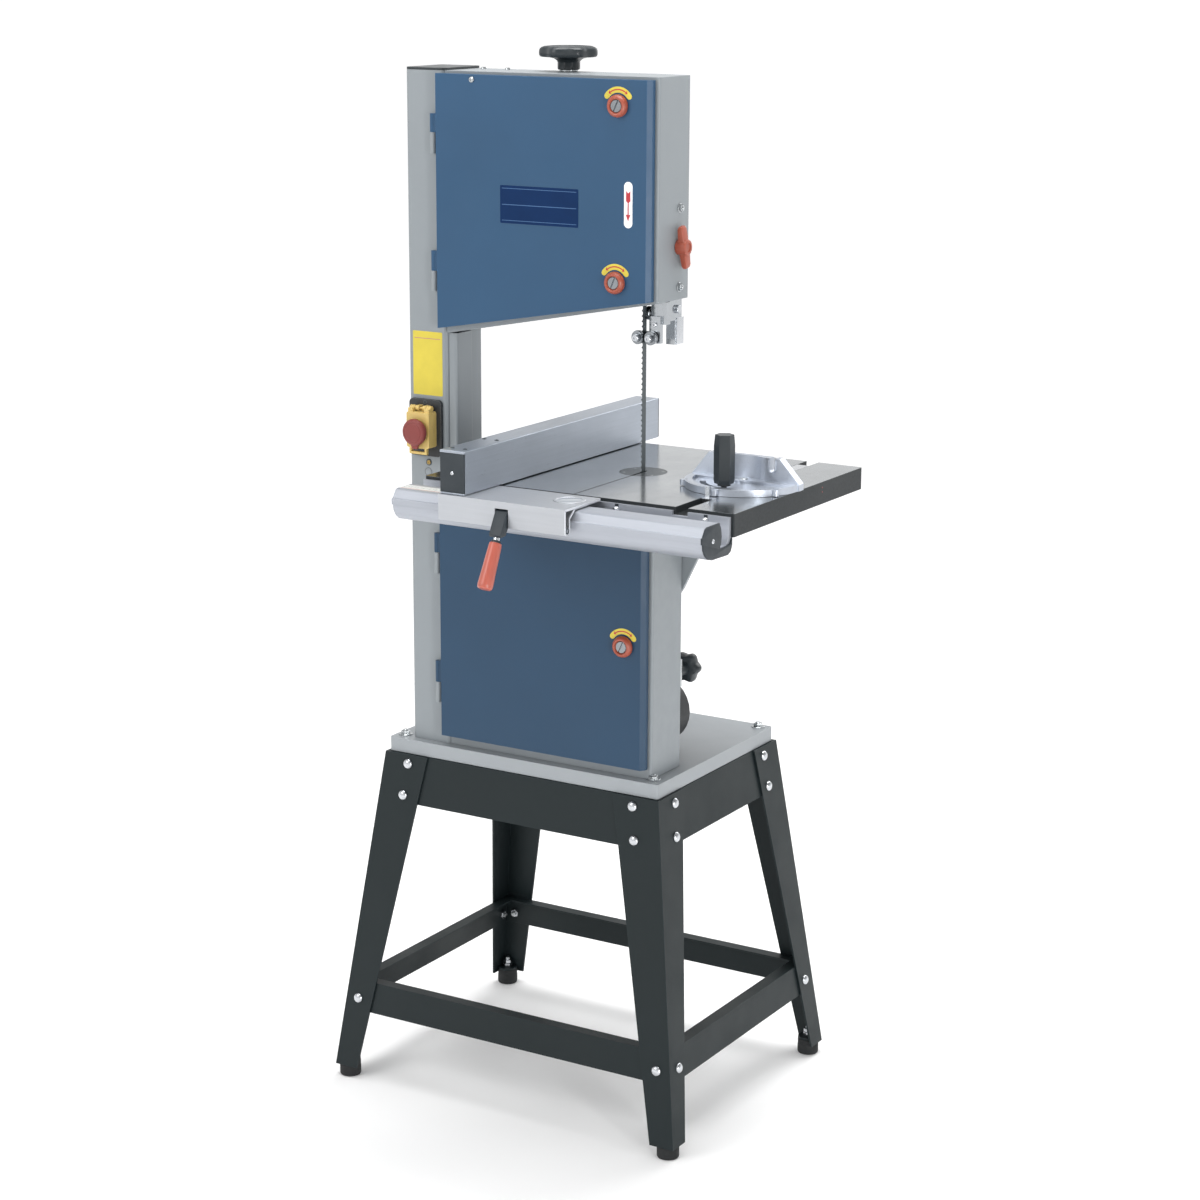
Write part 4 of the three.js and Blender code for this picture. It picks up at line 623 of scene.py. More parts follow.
def arc_band(cx, cz, r0, r1, a0, a1, n=24, cap=5):
    rm, w = (r0 + r1) / 2, (r1 - r0) / 2
    out = [(cx + r1 * math.cos(math.radians(a0 + (a1 - a0) * i / n)), cz + r1 * math.sin(math.radians(a0 + (a1 - a0) * i / n))) for i in range(n + 1)]
    for e, s in ((a1, 1), (a0, -1)):
        ex, ez = cx + rm * math.cos(math.radians(e)), cz + rm * math.sin(math.radians(e))
        if s == 1:
            out += [(ex + w * math.cos(math.radians(e + 180 * k / cap)), ez + w * math.sin(math.radians(e + 180 * k / cap))) for k in range(1, cap)]
            out += [(cx + r0 * math.cos(math.radians(a1 + (a0 - a1) * i / n)), cz + r0 * math.sin(math.radians(a1 + (a0 - a1) * i / n))) for i in range(n + 1)]
        else:
            out += [(ex + w * math.cos(math.radians(e + 180 + 180 * k / cap)), ez + w * math.sin(math.radians(e + 180 + 180 * k / cap))) for k in range(1, cap)]
    return out


DOOR = -172.0
for body, cx, cz in (("upper_door", 158.2, 1472), ("upper_door", 155.0, 1235.2), ("lower_door", 171.1, 727)):
    sticker(tag("turn_arc"), arc_band(cx, cz, 17.5, 25.5, 36, 144), DOOR, M["label_yellow"], body)
    sticker(tag("turn_mark"), arc_band(cx, cz, 20.8, 22.4, 58, 122, 18, 3), DOOR - 0.25, M["label_red"], body, 0.12)
    for a in (56, 124):
        s = 1 if a > 90 else -1
        c, q = math.cos(math.radians(a)), math.sin(math.radians(a))
        tip = (cx + 21.6 * math.cos(math.radians(a + s * 9)), cz + 21.6 * math.sin(math.radians(a + s * 9)))
        sticker(tag("turn_tip"), [(cx + 18.9 * c, cz + 18.9 * q), (cx + 24.3 * c, cz + 24.3 * q), tip], DOOR - 0.25, M["label_red"], body, 0.12)
sticker("blade_way_plate", rect(168.5, 181.5, 1310, 1372, 6.4, 8), DOOR, M["label_white"], "upper_door")
sticker("blade_way_arrow", [(175, 1319), (178.6, 1328), (175.9, 1328), (175.9, 1344), (178.4, 1346), (178.4, 1360), (175, 1356.5), (171.6, 1360), (171.6, 1346), (174.1, 1344), (174.1, 1328), (171.4, 1328)], DOOR - 0.25, M["label_red"], "upper_door", 0.12)
sticker("plain_plate", rect(-30.5, 96, 1306, 1358, 1.2, 3), DOOR, M["label_navy"], "upper_door", 0.4)
sticker("plain_plate_rule", rect(-27.5, 93, 1331.2, 1332.2), DOOR - 0.4, M["label_blue"], "upper_door", 0.08)
for q0, q1 in ((1353.6, 1354.4), (1309.6, 1310.4)):
    sticker(tag("plain_plate_rule"), rect(-27.5, 93, q0, q1), DOOR - 0.4, M["label_blue"], "upper_door", 0.08)
COL = -157.7
sticker("column_plate", rect(-190.5, -139.8, 1050.5, 1142.5, 1.5, 3), COL, M["label_yellow"], "frame")
sticker("column_plate_edge", rect(-187.5, -142.8, 1131.9, 1132.9), COL - 0.25, M["label_rose"], "frame", 0.08)

# ------------------------------------------------------------------ latches
for body, door, (x, z), dirn in (("upper_door_latch_top", "upper_door", (158.9, 1472), "left"), ("upper_door_latch_bottom", "upper_door", (155.7, 1235.2), "left"), ("lower_door_latch", "lower_door", (171.8, 727), "up")):
    ring = turned(body + "_ring", (x, 0, z), (0, 1, 0), [(8.7, -172.4), (14.6, -172.4), (15.2, -173.2), (15.3, -175.2), (14.7, -178), (13.2, -180.3), (11.6, -181.3), (10.2, -181.1), (9.2, -179.8), (8.8, -178.2)], M["orange"], body, 48, ring=True)
    disc = turned(body + "_disc", (x, 0, z), (0, 1, 0), [(0, -172.3), (8.65, -172.3), (8.65, -178.8), (7.9, -179.5), (0, -179.7)], M["bearing"], None, 40)
    cutter = block("cutter", (-1.3, 1.3), (-183, -177.6), (-11, 11), M["steel"], None, 0)
    cutter.data.transform(Matrix.Translation(P(x, 0, z) - P(0, 0, 0)) @ Matrix.Translation(P(0, 0, 0)) @ Matrix.Rotation(math.radians(24), 4, "Y") @ Matrix.Translation(-P(0, 0, 0)))
    carve(disc, cutter)
    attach(disc, body)
    turned(body + "_spindle", (x, 0, z), (0, 1, 0), [(0, -172.4), (7.8, -172.4), (7.8, -155), (5, -155), (5, -150.2), (0, -150.2)], M["black"], body, 28)
    if dirn == "left":
        prism(body + "_tongue", [(x + 8, z - 6), (x + 8, z + 6), (x - 26, z + 6), (x - 31, z + 3), (x - 31, z - 3), (x - 26, z - 6)], "y", -154, -151.2, M["zinc"], body, 0.4)
    else:
        prism(body + "_tongue", [(x - 6, z - 8), (x + 6, z - 8), (x + 6, z + 26), (x + 3, z + 31), (x - 3, z + 31), (x - 6, z + 26)], "y", -154, -151.2, M["zinc"], body, 0.4)
    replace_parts(ring, body)

# ================================================================== blade and wheels
dress("lower_wheel", M["cast_iron"], 0.5)
dress("upper_wheel", M["cast_iron"], 0.5)
dress("lower_tyre", M["rubber"])
dress("upper_tyre", M["rubber"])
dress("lower_wheel_shaft", M["zinc"], 0.3)
dress("upper_wheel_shaft", M["zinc"], 0.4)
dress("tension_slide", M["cast_iron"], 0.8)
dress("motor_pulley", M["cast_iron"], 0.4)
dress("drive_belt", M["rubber"])


def band():
    """Endless band with hooked teeth along its front edge."""
    cx, zu, zl, r = 27.4, 1340.0, 699.0, 153.0
    straight, half = zu - zl, math.pi * r
    total = 2 * straight + 2 * half
    teeth = 310
    pitch = total / teeth

    def at(s, off):
        s %= total
        if s < straight:  # cutting run, downwards
            return cx + r + off, zu - s
        s -= straight
        if s < half:
            a = -s / r
            return cx + (r + off) * math.cos(a), zl + (r + off) * math.sin(a)
        s -= half
        if s < straight:
            return cx - r - off, zl + s
        s -= straight
        a = math.pi - s / r
        return cx + (r + off) * math.cos(a), zu + (r + off) * math.sin(a)

    verts, faces = [], []
    prof = ((0.0, -143.2), (0.2, -140.0), (0.52, -139.3), (0.82, -140.6))  # tip, throat, gullet, back
    cols = []
    for i in range(teeth):
        for f, y in prof:
            s = (i + f) * pitch
            col = []
            for off in (-0.32, 0.32):
                x, z = at(s, off)
                for yy in (y, -130.0):
                    col.append(len(verts))
                    verts.append((x, yy, z))
            cols.append(col)
    for i, a in enumerate(cols):
        b = cols[(i + 1) % len(cols)]
        faces += [(a[0], b[0], b[1], a[1]), (a[2], a[3], b[3], b[2]), (a[0], a[2], b[2], b[0]), (a[1], b[1], b[3], a[3])]
    return piece("toothed_band", verts, faces, M["dark_steel"], "frame")


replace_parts(band(), "saw_blade")

# tension hand-knob
T = 1510.4
KX, KY = 27.4, -86.0
k = turned("tension_knob_head", (KX, KY, T), (0, 0, 1), [(0, 2.7, 0), (14.8, 2.7, 0), (15.3, 3.4, 0), (15.3, 12.2, 0), (16.4, 14.6, 0), (20, 17.4, 0.4), (27, 19.2, 2.2), (36, 19.7, 3.8), (39.6, 20.4, 4), (41.2, 22.4, 4), (41.5, 25.0, 4), (41.4, 28.4, 4), (40.6, 31.2, 4), (38.2, 33.2, 3.6), (34, 34.7, 2.2), (29.6, 34.9, 0.8), (26.8, 34.6, 0), (25.4, 33.6, 0), (0, 33.2, 0)], M["black"], "tension_knob", 168, 7)
for i in range(9):
    t = 2 * math.pi * i / 9
    block(tag("knob_hub_rib"), (KX + 15.1 * math.cos(t) - 0.7, KX + 15.1 * math.cos(t) + 0.7), (KY + 15.1 * math.sin(t) - 0.7, KY + 15.1 * math.sin(t) + 0.7), (T + 3.6, T + 13), M["black"], "tension_knob", 0.4)
turned("tension_knob_washer", (KX, KY, T), (0, 0, 1), [(0, 0.35), (12.6, 0.35), (13, 0.8), (13, 2.3), (12.6, 2.7), (0, 2.7)], M["zinc"], "tension_knob", 36)
turned("tension_screw", (KX, KY, 0), (0, 0, 1), [(0, 1332), (5, 1332), (6, 1333.5)] + [(5.3 + 0.7 * (i % 2), 1334 + i * 1.0) for i in range(0, 58)] + [(6, 1392), (6, T + 0.4), (0, T + 0.4)], M["zinc"], "tension_knob", 24)
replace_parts(k, "tension_knob")


def star_knob(name, node, body, at, y0, y1, r, lobes, stem_r, stem_y0, hub_r):
    x, z = at
    h = y1 - y0
    o = turned(name, (x, 0, z), (0, 1, 0), [(0, y0), (r * 0.62, y0, 1), (r * 0.9, y0 + h * 0.10, 3.6), (r * 0.99, y0 + h * 0.28, 4.2), (r, y0 + h * 0.5, 4.3), (r * 0.985, y0 + h * 0.74, 4.2), (r * 0.9, y0 + h * 0.92, 3.4), (r * 0.74, y1, 1.6), (r * 0.4, y1, 0), (r * 0.36, y1 - 0.8, 0), (0, y1 - 0.8)], M["black"], body, 144, lobes)
    turned(name + "_hub", (x, 0, z), (0, 1, 0), [(0, -67.5 if hub_r > 8.5 else -67.9), (hub_r, -67.0 if hub_r > 8.5 else -67.9), (hub_r + 0.6, y0 + 0.6), (0, y0 + 0.6)], M["black"], body, 32)
    turned(name + "_stem", (x, 0, z), (0, 1, 0), [(0, stem_y0), (stem_r - 0.5, stem_y0), (stem_r, stem_y0 + 0.8), (stem_r, y0 + 1), (0, y0 + 1)], M["zinc"], body, 20)
    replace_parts(o, node)


star_knob("clamp_knob_star", "motor_clamp_knob", "motor_clamp_knob", (196, 669), -44.4, -24.2, 23, 6, 4, -84, 9.2)
star_knob("tracking_knob_star", "tracking_knob", "tracking_knob", (27.4, 1308), -57.8, -40.2, 22, 6, 4, -103.2, 8)

# ------------------------------------------------------------------ motor
MX, MZ = -58.0, 640.0
plate = NODES["motor"]
body_prof = [(0, -66), (60, -66), (66, -64), (68, -60)]
m0 = turned("motor_body", (MX, 0, MZ), (0, 1, 0), [(0, -67, 0), (60, -67, 0), (66, -65, 0), (68, -61, 0), (68, -52, 0), (69.8, -51, 4.6), (69.8, 70, 4.6), (68, 71, 0), (68, 80, 0), (62, 84, 0), (0, 84, 0)], M["motor"], "frame", 320, 40)
cover = turned("motor_fan_cover", (MX, 0, MZ), (0, 1, 0), [(0, 78), (69, 78), (69.8, 79), (69.8, 108), (68.5, 113), (64, 117.5), (56, 120), (30, 121), (0, 121)], M["motor"], None, 96)
cuts = []
for rr, cnt in ((18, 6), (31, 10), (44, 14)):
    for i in range(cnt):
        a = 2 * math.pi * i / cnt
        cuts.append(turned("cutter", (MX + rr * math.cos(a), 0, MZ + rr * math.sin(a)), (0, 1, 0), [(0, 112), (3.6, 112), (3.6, 130), (0, 130)], M["motor"], None, 12))
carve(cover, *cuts)
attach(cover, "frame")
prism("motor_clamp_plate", [(-126, 574), (0, 574), (10, 645), (150, 650), (208, 650), (208, 690), (10, 705), (-126, 706)], "y", -73.5, -67.7, M["zinc"], "frame", 0.6)
turned("motor_shaft", (MX, 0, MZ), (0, 1, 0), [(0, -119), (8.6, -119), (9, -118.4), (9, -66), (0, -66)], M["steel"], "frame", 32)
block("terminal_box", (MX - 32, MX + 32), (-20, 60), (MZ + 64, MZ + 94), M["motor"], "frame", 3, 3)
block("terminal_box_lid", (MX - 32.4, MX + 32.4), (-20.4, 60.4), (MZ + 94.2, MZ + 98), M["motor"], "frame", 1.2, 3)
for sx, yy in ((-26, -14), (26, -14), (-26, 54), (26, 54)):
    pan_screw((MX + sx, yy, MZ + 97.2), (0, 0, 1), "frame", 3.2, 1.0)
turned("cable_gland", (MX, 0, MZ + 82), (0, 1, 0), [(0, 59), (10, 59), (10, 65), (8.6, 66), (8.6, 72), (7.4, 75.6), (5, 76), (5, 72), (0, 72)], M["black"], "frame", 12)
block("motor_foot", (MX - 50, MX + 50), (-40, 60), (MZ - 71, MZ - 60), M["motor"], "frame", 2, 2)
for yy in (-30, 50):
    for s in (-1, 1):
        hex_bolt((MX + s * 42, yy, MZ - 60), (0, 0, 1), "frame", 5.5, 4, 7)
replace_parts(m0, "motor")

# ================================================================== guides
dress("guide_post", M["post"], 0.5)
BDX = 0.325 + 0.3 + 9.5


def bearing(name, node, at, axis):
    """Shielded ball bearing: outer ring, recessed shields, inner ring."""
    o = turned(name, at, axis, [(4.02, -3.4), (5.6, -3.5), (5.8, -3.2), (5.9, -2.9), (7.6, -2.9), (7.7, -3.4), (9.0, -3.5), (9.45, -3.0), (9.5, -2.5), (9.5, 2.5), (9.45, 3.0), (9.0, 3.5), (7.7, 3.4), (7.6, 2.9), (5.9, 2.9), (5.8, 3.2), (5.6, 3.5), (4.02, 3.4)], M["bearing"], node, 56, ring=True)
    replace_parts(o, node)


bearing("side_bearing_left", "guide_bearing_left", (180.4 - BDX, -134.5, 1157.5), (0, 1, 0))
bearing("side_bearing_right", "guide_bearing_right", (180.4 + BDX, -134.5, 1157.5), (0, 1, 0))
bearing("back_bearing", "thrust_bearing", (180.4, -120.2, 1190), (1, 0, 0))
for s in (-1, 1):
    socket_screw((180.4 + s * BDX, -142.9, 1157.5), (0, -1, 0), "guide_post", 4.6, 1.8)
turned("guard_screw", (209.4, -97, 1195), (1, 0, 0), [(0, 0), (5.6, 0, 0), (5.8, 0.6, 0.5), (5.8, 4.0, 0.5), (5.0, 4.6, 0), (0, 4.6, 0)], M["steel"], "guide_post", 96, 24)
socket_screw((193, -129.4, 1176), (0, -1, 0), "guide_post", 3.6, 2.4)
pan_screw((209.5, -92, 1156), (1, 0, 0), "guide_post", 3.0, 1.4)
prism("guard_sheet", [(-98.4, 1145.9), (-80, 1145.9), (-80, 1183), (-98.4, 1183)], "x", 209.6, 211, M["steel"], "guide_post", 0.3)

# wing knob on the side of the upper housing
X0 = 214.1


def tilt(pts, deg, y, z):
    r = Matrix.Rotation(math.radians(deg), 3, "X")
    return [tuple(Vector((p[0], 0, 0)) + r @ Vector((0, p[1], p[2])) + Vector((0, y, z))) for p in pts]


LKY, LKZ = -104.0, 1281.0
for s, nm in ((1, "up"), (-1, "down")):
    pts = [(X0 + 3.6, -7, s * 1), (X0 + 14.8, -7, s * 1), (X0 + 14.8, 7, s * 1), (X0 + 3.6, 7, s * 1),
           (X0 + 5.4, -6.8, s * 26), (X0 + 13.4, -6.8, s * 26), (X0 + 13.4, 6.8, s * 26), (X0 + 5.4, 6.8, s * 26),
           (X0 + 6.4, -5, s * 30), (X0 + 12.4, -5, s * 30), (X0 + 12.4, 5, s * 30), (X0 + 6.4, 5, s * 30)]
    hull("lock_knob_wing_" + nm, tilt(pts, 14, LKY, LKZ), M["orange"], "guide_lock_knob", 1.4, 3)
hub = turned("lock_knob_hub", (X0, LKY, LKZ), (1, 0, 0), [(0, 0.35), (9.8, 0.35), (10.8, 1.2), (11.2, 5), (11.2, 14.4), (10.6, 16.2), (9.4, 16.9), (6.6, 16.95), (6.2, 15.6), (0, 15.4)], M["orange"], "guide_lock_knob", 40)
turned("lock_knob_screw", (0, LKY, LKZ), (1, 0, 0), [(0, 210.2), (4.2, 210.2), (5.1, 211.2), (5.1, X0 + 1), (0, X0 + 1)], M["zinc"], "guide_lock_knob", 24)
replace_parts(hub, "guide_lock_knob")

# ================================================================== table
dress("table", table_metal(), 0.5)
dress("table_insert", M["dark_steel"], 0.15)
for a in (35, 145, 215, 325):
    x, y = 180.4 + 27 * math.cos(math.radians(a)), -135 + 27 * math.sin(math.radians(a))
    turned(tag("insert_screw"), (x, y, 970.25), (0, 0, 1), [(0, 0), (2.2, 0), (2.2, 0.12), (1.9, 0.2), (0, 0.2)], M["zinc"], "table", 18)
for dz in (-8, -14):
    turned(tag("brass_pin"), (422.9, -66, 970.5 + dz), (1, 0, 0), [(0, -0.1), (1.1, -0.1), (1.1, 0.15), (0, 0.25)], M["red"], "table", 14)

dress("fence_rail", M["alu_x"], 0.25)
RX1 = 418.5
D_CAP = [(-324.0, 932), (-333.5, 931), (-352.5, 930.6), (-349.4, 938), (-348.2, 947), (-350, 957), (-354.3, 964.8), (-386, 964.8), (-390.5, 963), (-397, 953.2), (-400, 952.5), (-400, 944.2), (-397.2, 943.6), (-396, 936), (-391, 928), (-383, 922), (-372.9, 919.6), (-331, 918.4), (-323, 922), (-319.4, 930), (-319.4, 940)]
prism("rail_cap_right", D_CAP, "x", RX1 + 0.05, RX1 + 2.6, M["satin"], "table", 0.5)
pan_screw((RX1 + 2.6, -372, 944), (1, 0, 0), "table", 3.2, 1.4, M["steel"])
L_CAP = [(-355.5, 932), (-352.4, 940), (-351.4, 947), (-353, 956), (-356.2, 961.8), (-385.4, 961.8), (-388.6, 960.6), (-394, 951.4), (-394.4, 945), (-393, 937), (-388.6, 930), (-381.6, 924.8), (-372.4, 922.6), (-356, 922.4)]
prism("rail_plug_left", L_CAP, "x", -59.9, -52, M["satin"], "table", 0.3)
pan_screw((-59.9, -372, 944), (-1, 0, 0), "table", 3.2, 1.2)
prism("rail_tape", rect(-58, 24, -384, -362), "z", 964.85, 965.0, M["label_pale"], "table")
prism("rail_tape_edge", rect(-56, 22, -383, -381.4), "z", 965.0, 965.06, M["label_rose"], "table")
for i in range(0, 78, 5):
    w = 7 if i % 10 == 0 else 4
    prism(tag("tape_mark"), rect(-55.6 + i, -55.2 + i, -368.5 - w, -368.5), "z", 965.0, 965.06, M["satin"], "table")
for x in (-22, 114, 250, 384):
    turned(tag("rail_bolt"), (x, -324.2, 957.6), (0, -1, 0), [(0, -0.05), (5.3, -0.05), (5.5, 0.3), (5.5, 1.2), (4.9, 2.6), (3.4, 3.6), (1.6, 4.0), (0, 4.1)], M["steel"], "table", 28)
    # a thin black sheet on the rail face stands in for the shaded notch above each bolt: painted shade
    block(tag("rail_notch_shade"), (x - 2.8, x + 2.8), (-324.5, -324.15), (960.5, 966), M["satin"], "table", 0.0)

# fence
dress("fence_carriage", M["alu_mill"], 0.4)
dress("fence_beam", M["alu_y"], 0.4)
prism("fence_end_cap", rect(28.5, 66.8, 973.8, 1026.6, 1, 3), "y", -411.5, -409.05, M["satin"], "fence", 0.6)
pan_screw((47.8, -411.4, 1000), (0, -1, 0), "fence", 2.6, 1.2, M["steel"])
prism("fence_end_strip", rect(28.1, 67.2, 1027.0, 1030.4, 0.8, 3), "y", -411.5, -409.05, M["alu_y"], "fence", 0.4)
prism("fence_end_sill", rect(28.1, 67.2, 971.5, 973.6, 0.4, 3), "y", -411.3, -409.05, M["alu_y"], "fence", 0.3)
prism("fence_end_back", rect(28.4, 66.9, 972.0, 1030.0, 1, 3), "y", 103.05, 105.5, M["satin"], "fence", 0.6)
for x, y in ((36, -316), (56, -316), (37, -394), (57, -394)):
    turned(tag("beam_rivet"), (x, y, 1030.5), (0, 0, 1), [(0, 0), (3.2, 0), (3.0, 0.5), (2.0, 0.8), (1.3, 0.4), (0, 0.4)], M["dark_steel"], "fence", 24)
for x in (28, 67.3):
    for z in (985.5, 1016.5):
        block(tag("beam_rib"), (x - 0.1, x + 0.1), (-408.6, 102.6), (z - 0.4, z + 0.4), M["alu_y"], "fence", 0.0)
LX, LY = 198.5, -359.5
turned("lens_ring", (LX, LY, 971), (0, 0, 1), [(17.4, -0.1), (22, -0.1), (22, 0.5), (21.4, 1.1), (19.6, 1.3), (18, 1.1), (17.4, 0.5)], M["alu_mill"], "fence", 56, ring=True)
glass = Nodes("lens_glass")
gm = glass.out(lin(150, 156, 162), 0.14, 0.0, glass.bump(glass.noise(40, 2), 0.05, 0.0002), Coat_Weight=0.5, Coat_Roughness=0.1, IOR=1.45)
turned("lens", (LX, LY, 971), (0, 0, 1), [(17.5, 0.02), (17.5, 0.5), (14, 1.3), (9, 1.8), (4, 2.05), (0, 2.1)], gm, "fence", 56)
block("lens_line", (LX - 0.25, LX + 0.25), (LY - 15, LY + 15), (971.4, 971.9), M["label_red"], "fence", 0.0)
# bright strips over the carriage's sawn end walls: sawn metal, drawn lighter as a painted highlight for the dimly lit
# end face
CE = [(-414.6, 937.6), (-414.6, 969.4), (-327, 969.2), (-391.5, 966.7), (-403.4, 957.0), (-403.4, 941.8), (-407.4, 937.6)]
for (ya, za), (yb, zb), w in ((CE[0], CE[1], 1.2), (CE[1], CE[2], 1.3), (CE[3], CE[4], 0.9), (CE[4], CE[5], 0.9), (CE[5], CE[6], 0.9), (CE[6], CE[0], 0.9)):
    dy, dz = yb - ya, zb - za
    k = w / math.hypot(dy, dz)
    prism(tag("sawn_rim_painted_highlight"), [(ya - dz * k, za + dy * k), (ya + dz * k, za - dy * k), (yb + dz * k, zb - dy * k), (yb - dz * k, zb + dy * k)], "x", 225.9, 226.3, M["sawn"], "fence", 0.0)
turned("carriage_boss", (0, -409.4, 941.5), (1, 0, 0), [(2.2, 226), (4.4, 226), (4.4, 226.2), (4.2, 226.5), (2.2, 226.5)], M["dark_steel"], "fence", 24, ring=True)
# cam lever
VX, VY, VZ = 128.2, -412.5, 953.0
cam = prism("lever_cam", [(-408.7, 944), (-408.7, 957.3), (-412, 960), (-416.4, 958.3), (-423.8, 945), (-432.2, 928.9), (-430.3, 925.8), (-419.5, 926.8), (-412.7, 936.7)], "x", VX - 9.4, VX + 9.4, M["satin"], "fence_lever", 1.0, 3)
ax = (0, -math.sin(math.radians(26)), -math.cos(math.radians(26)))
turned("lever_neck", (VX, VY, VZ), ax, [(0, 16), (4.3, 16), (4.3, 35.8), (0, 35.8)], M["steel"], "fence_lever", 32)
turned("lever_collar", (VX, VY, VZ), ax, [(0, 35.6), (6.2, 35.6), (6.5, 36.1), (6.5, 38.2), (7.9, 38.9), (0, 38.9)], M["satin"], "fence_lever", 36)
turned("lever_handle", (VX, VY, VZ), ax, [(0, 38.8), (7.6, 38.8), (8.2, 39.5), (8.6, 43), (9.1, 56), (9.6, 72), (10.2, 88), (10.5, 95.5), (10.3, 98.6), (9.6, 100.6), (8.0, 101.8), (0, 102)], M["handle"], "fence_lever", 48)
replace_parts(cam, "fence_lever")

# mitre gauge
dress("mitre_head", M["cast_alu"], 0.8, 3)
dress("mitre_bar", M["steel"], 0.25)
dress("mitre_handle", M["black"], 0.8, 3)
for sgn in (-1, 1):
    cx, z0 = 345.5 + sgn * 41, 970.8 + 26
    out = [(cx - 6.2, 1008.5), (cx - 6.2, z0)] + [(cx + 6.2 * math.cos(math.radians(180 + 18 * i)), z0 + 6.2 * math.sin(math.radians(180 + 18 * i))) for i in range(1, 10)] + [(cx + 6.2, z0), (cx + 6.2, 1008.5), (cx + 4.0, 1008.5), (cx + 4.0, z0)] + [(cx + 4.0 * math.cos(math.radians(-18 * i)), z0 + 4.0 * math.sin(math.radians(-18 * i))) for i in range(1, 10)] + [(cx - 4.0, z0), (cx - 4.0, 1008.5)]
    prism(tag("slot_bead"), out, "y", -147.2, -144.6, M["cast_alu"], "mitre_head", 0.5)
turned("pivot_screw", (345.5, -150, 979.8), (0, 0, 1), [(0, 0), (6.4, 0), (6.4, 1.2), (5.2, 2.0), (0, 2.2)], M["zinc"], "mitre_head", 28)
for a in range(-60, 61, 5):
    t = math.radians(-90 + a)
    w = 3.4 if a % 15 == 0 else 2.0
    c, q = math.cos(t), math.sin(t)
    nx, ny = -q * 0.22, c * 0.22
    r0, r1 = 78.6 - w, 78.6
    prism(tag("degree_mark"), [(345.5 + r0 * c - nx, -150 + r0 * q - ny), (345.5 + r1 * c - nx, -150 + r1 * q - ny), (345.5 + r1 * c + nx, -150 + r1 * q + ny), (345.5 + r0 * c + nx, -150 + r0 * q + ny)], "z", 980.28, 980.4, M["satin"], "mitre_head")

# ================================================================== switch
sw = two_tone("switch_shell", ((40, 43, 46), 0.45, 0.0), ((212, 184, 110), 0.42, 0.0), lambda n, p: n.math("LESS_THAN", p[1], P(0, -163.6, 0).y))
dress("switch_housing", sw, 0.6)
dress("switch_lid", M["yellow"], 0.8, 3)
dress("start_button", M["green"], 0.3)
SX, SY = -167.0, -158.0
mush = turned("stop_mushroom", (SX, 0, 1001), (0, -1, 0), [(0, 175.2), (7, 175.2), (7, 186.5), (17, 186.5), (18.8, 187.4), (19.5, 189.4), (19.55, 191.4), (18.8, 193.6), (17.2, 195.0), (15.4, 195.3), (14.6, 194.9), (13.6, 194.8), (13.0, 195.2), (11, 195.45), (0, 195.45)], M["red"], "stop_button", 64)
prism("stop_tab", [(SX - 7.6, 986), (SX + 7.6, 986), (SX + 5.4, 979), (SX + 4.4, 976.6), (SX - 4.4, 976.6), (SX - 5.4, 979)], "y", -191.5, -187.6, M["red"], "stop_button", 0.8, 3)
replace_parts(mush, "stop_button")
# a black disc on the switch plate stands in for the hole's dark inside: painted shade
turned("plate_hole_shade", (SX, -163.5, 1041), (0, -1, 0), [(0, -0.3), (2.3, -0.3), (2.3, 0.08), (0, 0.08)], M["satin"], "frame", 20)
turned("plate_hole_ring", (SX, -163.5, 1041), (0, -1, 0), [(2.3, -0.2), (3.1, -0.2), (3.1, 0.18), (2.3, 0.18)], M["dark_steel"], "frame", 20, ring=True)

# ================================================================== stage
floor_mat = Nodes("studio_floor")
floor_mat.bsdf.inputs["Emission Color"].default_value = (1, 1, 1, 1)
fp = floor_mat.xyz()
away = floor_mat.math("SQRT", floor_mat.math("ADD", floor_mat.math("MULTIPLY", fp[0], fp[0]), floor_mat.math("MULTIPLY", fp[1], fp[1])))
floor_mat.link(floor_mat.math("MINIMUM", floor_mat.math("MAXIMUM", floor_mat.math("MULTIPLY", floor_mat.math("SUBTRACT", away, 1.5), 0.12), 0.03), 0.5), floor_mat.bsdf.inputs["Emission Strength"])
floor_mat.out(lin(253, 253, 253), 0.9, 0.0, floor_mat.bump(floor_mat.noise(80, 3), 0.04, 0.0005), Specular_IOR_Level=0.1)
me = bpy.data.meshes.new("floor")
R = 90.0
me.from_pydata([(-R, -R, 0), (R, -R, 0), (R, R, 0), (-R, R, 0)], [], [(0, 1, 2, 3)])
me.materials.append(floor_mat.mat)
floor = bpy.data.objects.new("floor", me)
bpy.context.scene.collection.objects.link(floor)

world = bpy.data.worlds.new("studio")
bpy.context.scene.world = world
world.use_nodes = True
wt = world.node_tree
bg = wt.nodes["Background"]
ray = wt.nodes.new("ShaderNodeTexCoord")
split = wt.nodes.new("ShaderNodeSeparateXYZ")
ramp = wt.nodes.new("ShaderNodeMapRange")
ramp.inputs["From Min"].default_value = 0.22
ramp.inputs["From Max"].default_value = 0.62
ramp.inputs["To Min"].default_value = 1.0
ramp.inputs["To Max"].default_value = 0.5
wt.links.new(ray.outputs["Generated"], split.inputs[0])
wt.links.new(split.outputs[2], ramp.inputs["Value"])
shade_x = wt.nodes.new("ShaderNodeMapRange")
shade_x.inputs["From Min"].default_value = 0.15
shade_x.inputs["From Max"].default_value = 0.95
shade_x.inputs["To Min"].default_value = 1.0
shade_x.inputs["To Max"].default_value = 0.55
both = wt.nodes.new("ShaderNodeMath")
both.operation = "MULTIPLY"
wt.links.new(split.outputs[0], shade_x.inputs["Value"])
wt.links.new(ramp.outputs["Result"], both.inputs[0])
wt.links.new(shade_x.outputs["Result"], both.inputs[1])
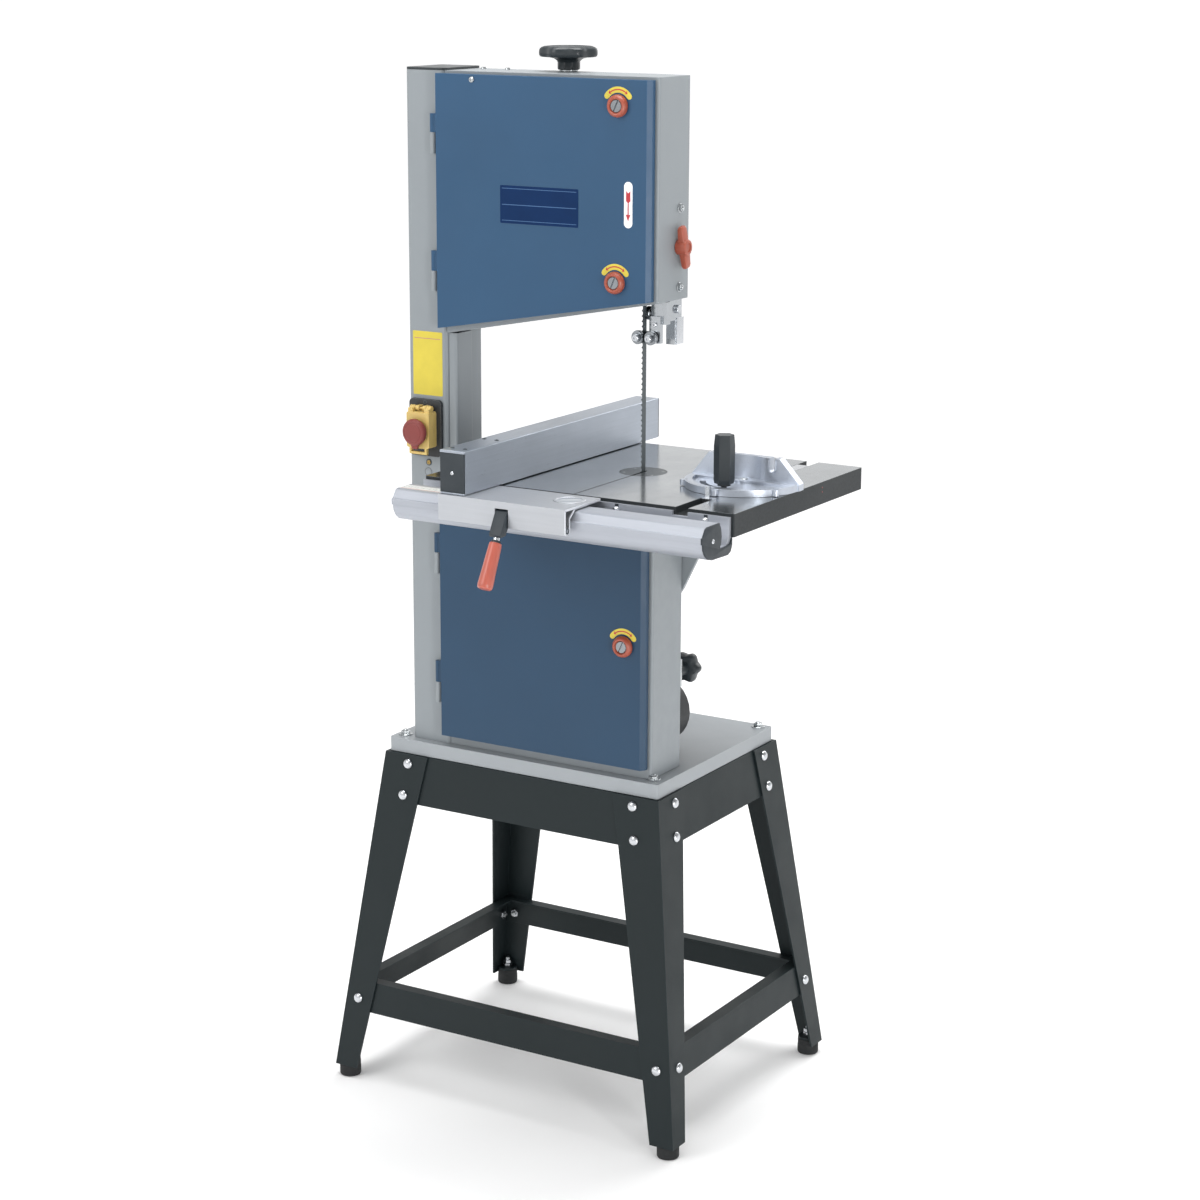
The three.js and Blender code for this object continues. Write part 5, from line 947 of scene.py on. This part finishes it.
low = wt.nodes.new("ShaderNodeMapRange")
low.inputs["From Min"].default_value = 0.14
low.inputs["From Max"].default_value = 0.36
low.inputs["To Min"].default_value = 1.0
low.inputs["To Max"].default_value = 0.0
wt.links.new(split.outputs[2], low.inputs["Value"])
most = wt.nodes.new("ShaderNodeMath")
most.operation = "MAXIMUM"
wt.links.new(both.outputs[0], most.inputs[0])
wt.links.new(low.outputs["Result"], most.inputs[1])
wt.links.new(most.outputs[0], bg.inputs["Strength"])
bg.inputs["Color"].default_value = (1.0, 1.0, 1.0, 1)


def area(name, at, to, size, power, color=(1, 1, 1)):
    l = bpy.data.lights.new(name, "AREA")
    l.shape = "RECTANGLE"
    l.size, l.size_y = size
    l.energy = power
    l.color = color
    o = bpy.data.objects.new(name, l)
    bpy.context.scene.collection.objects.link(o)
    o.location = at
    o.rotation_euler = (Vector(at) - Vector(to)).to_track_quat("Z", "Y").to_euler()
    return o


area("key", (-1.6, -3.4, 3.2), (0, 0, 0.9), (2.2, 2.2), 62)
area("strip", (2.9, -1.85, 0.85), (0.15, -0.1, 1.1), (0.3, 1.7), 34)
area("back", (0.6, 3.2, 2.6), (0, 0, 1.0), (2.4, 1.6), 30)
area("top", (0.2, 0.3, 4.2), (0, 0, 0.9), (2.6, 2.6), 130)

cam_data = bpy.data.cameras.new("camera")
cam_data.sensor_width = 36
cam_data.lens = 2707.9 / 1200 * 36
cam_data.clip_end = 300
cam_ob = bpy.data.objects.new("camera", cam_data)
bpy.context.scene.collection.objects.link(cam_ob)
RV, UV, BV = Vector((0.85617, 0.51667, 0.0041)), Vector((-0.12586, 0.20086, 0.9715)), Vector((0.50112, -0.83229, 0.2370))
BV.normalize()
RV = UV.cross(BV).normalized()
UV = BV.cross(RV).normalized()
mw = Matrix((RV, UV, BV)).transposed().to_4x4()
mw.translation = P(2034.7, -3330.1, 1688.1)
cam_ob.matrix_world = mw
bpy.context.scene.camera = cam_ob
bpy.context.scene.view_settings.view_transform = "Standard"
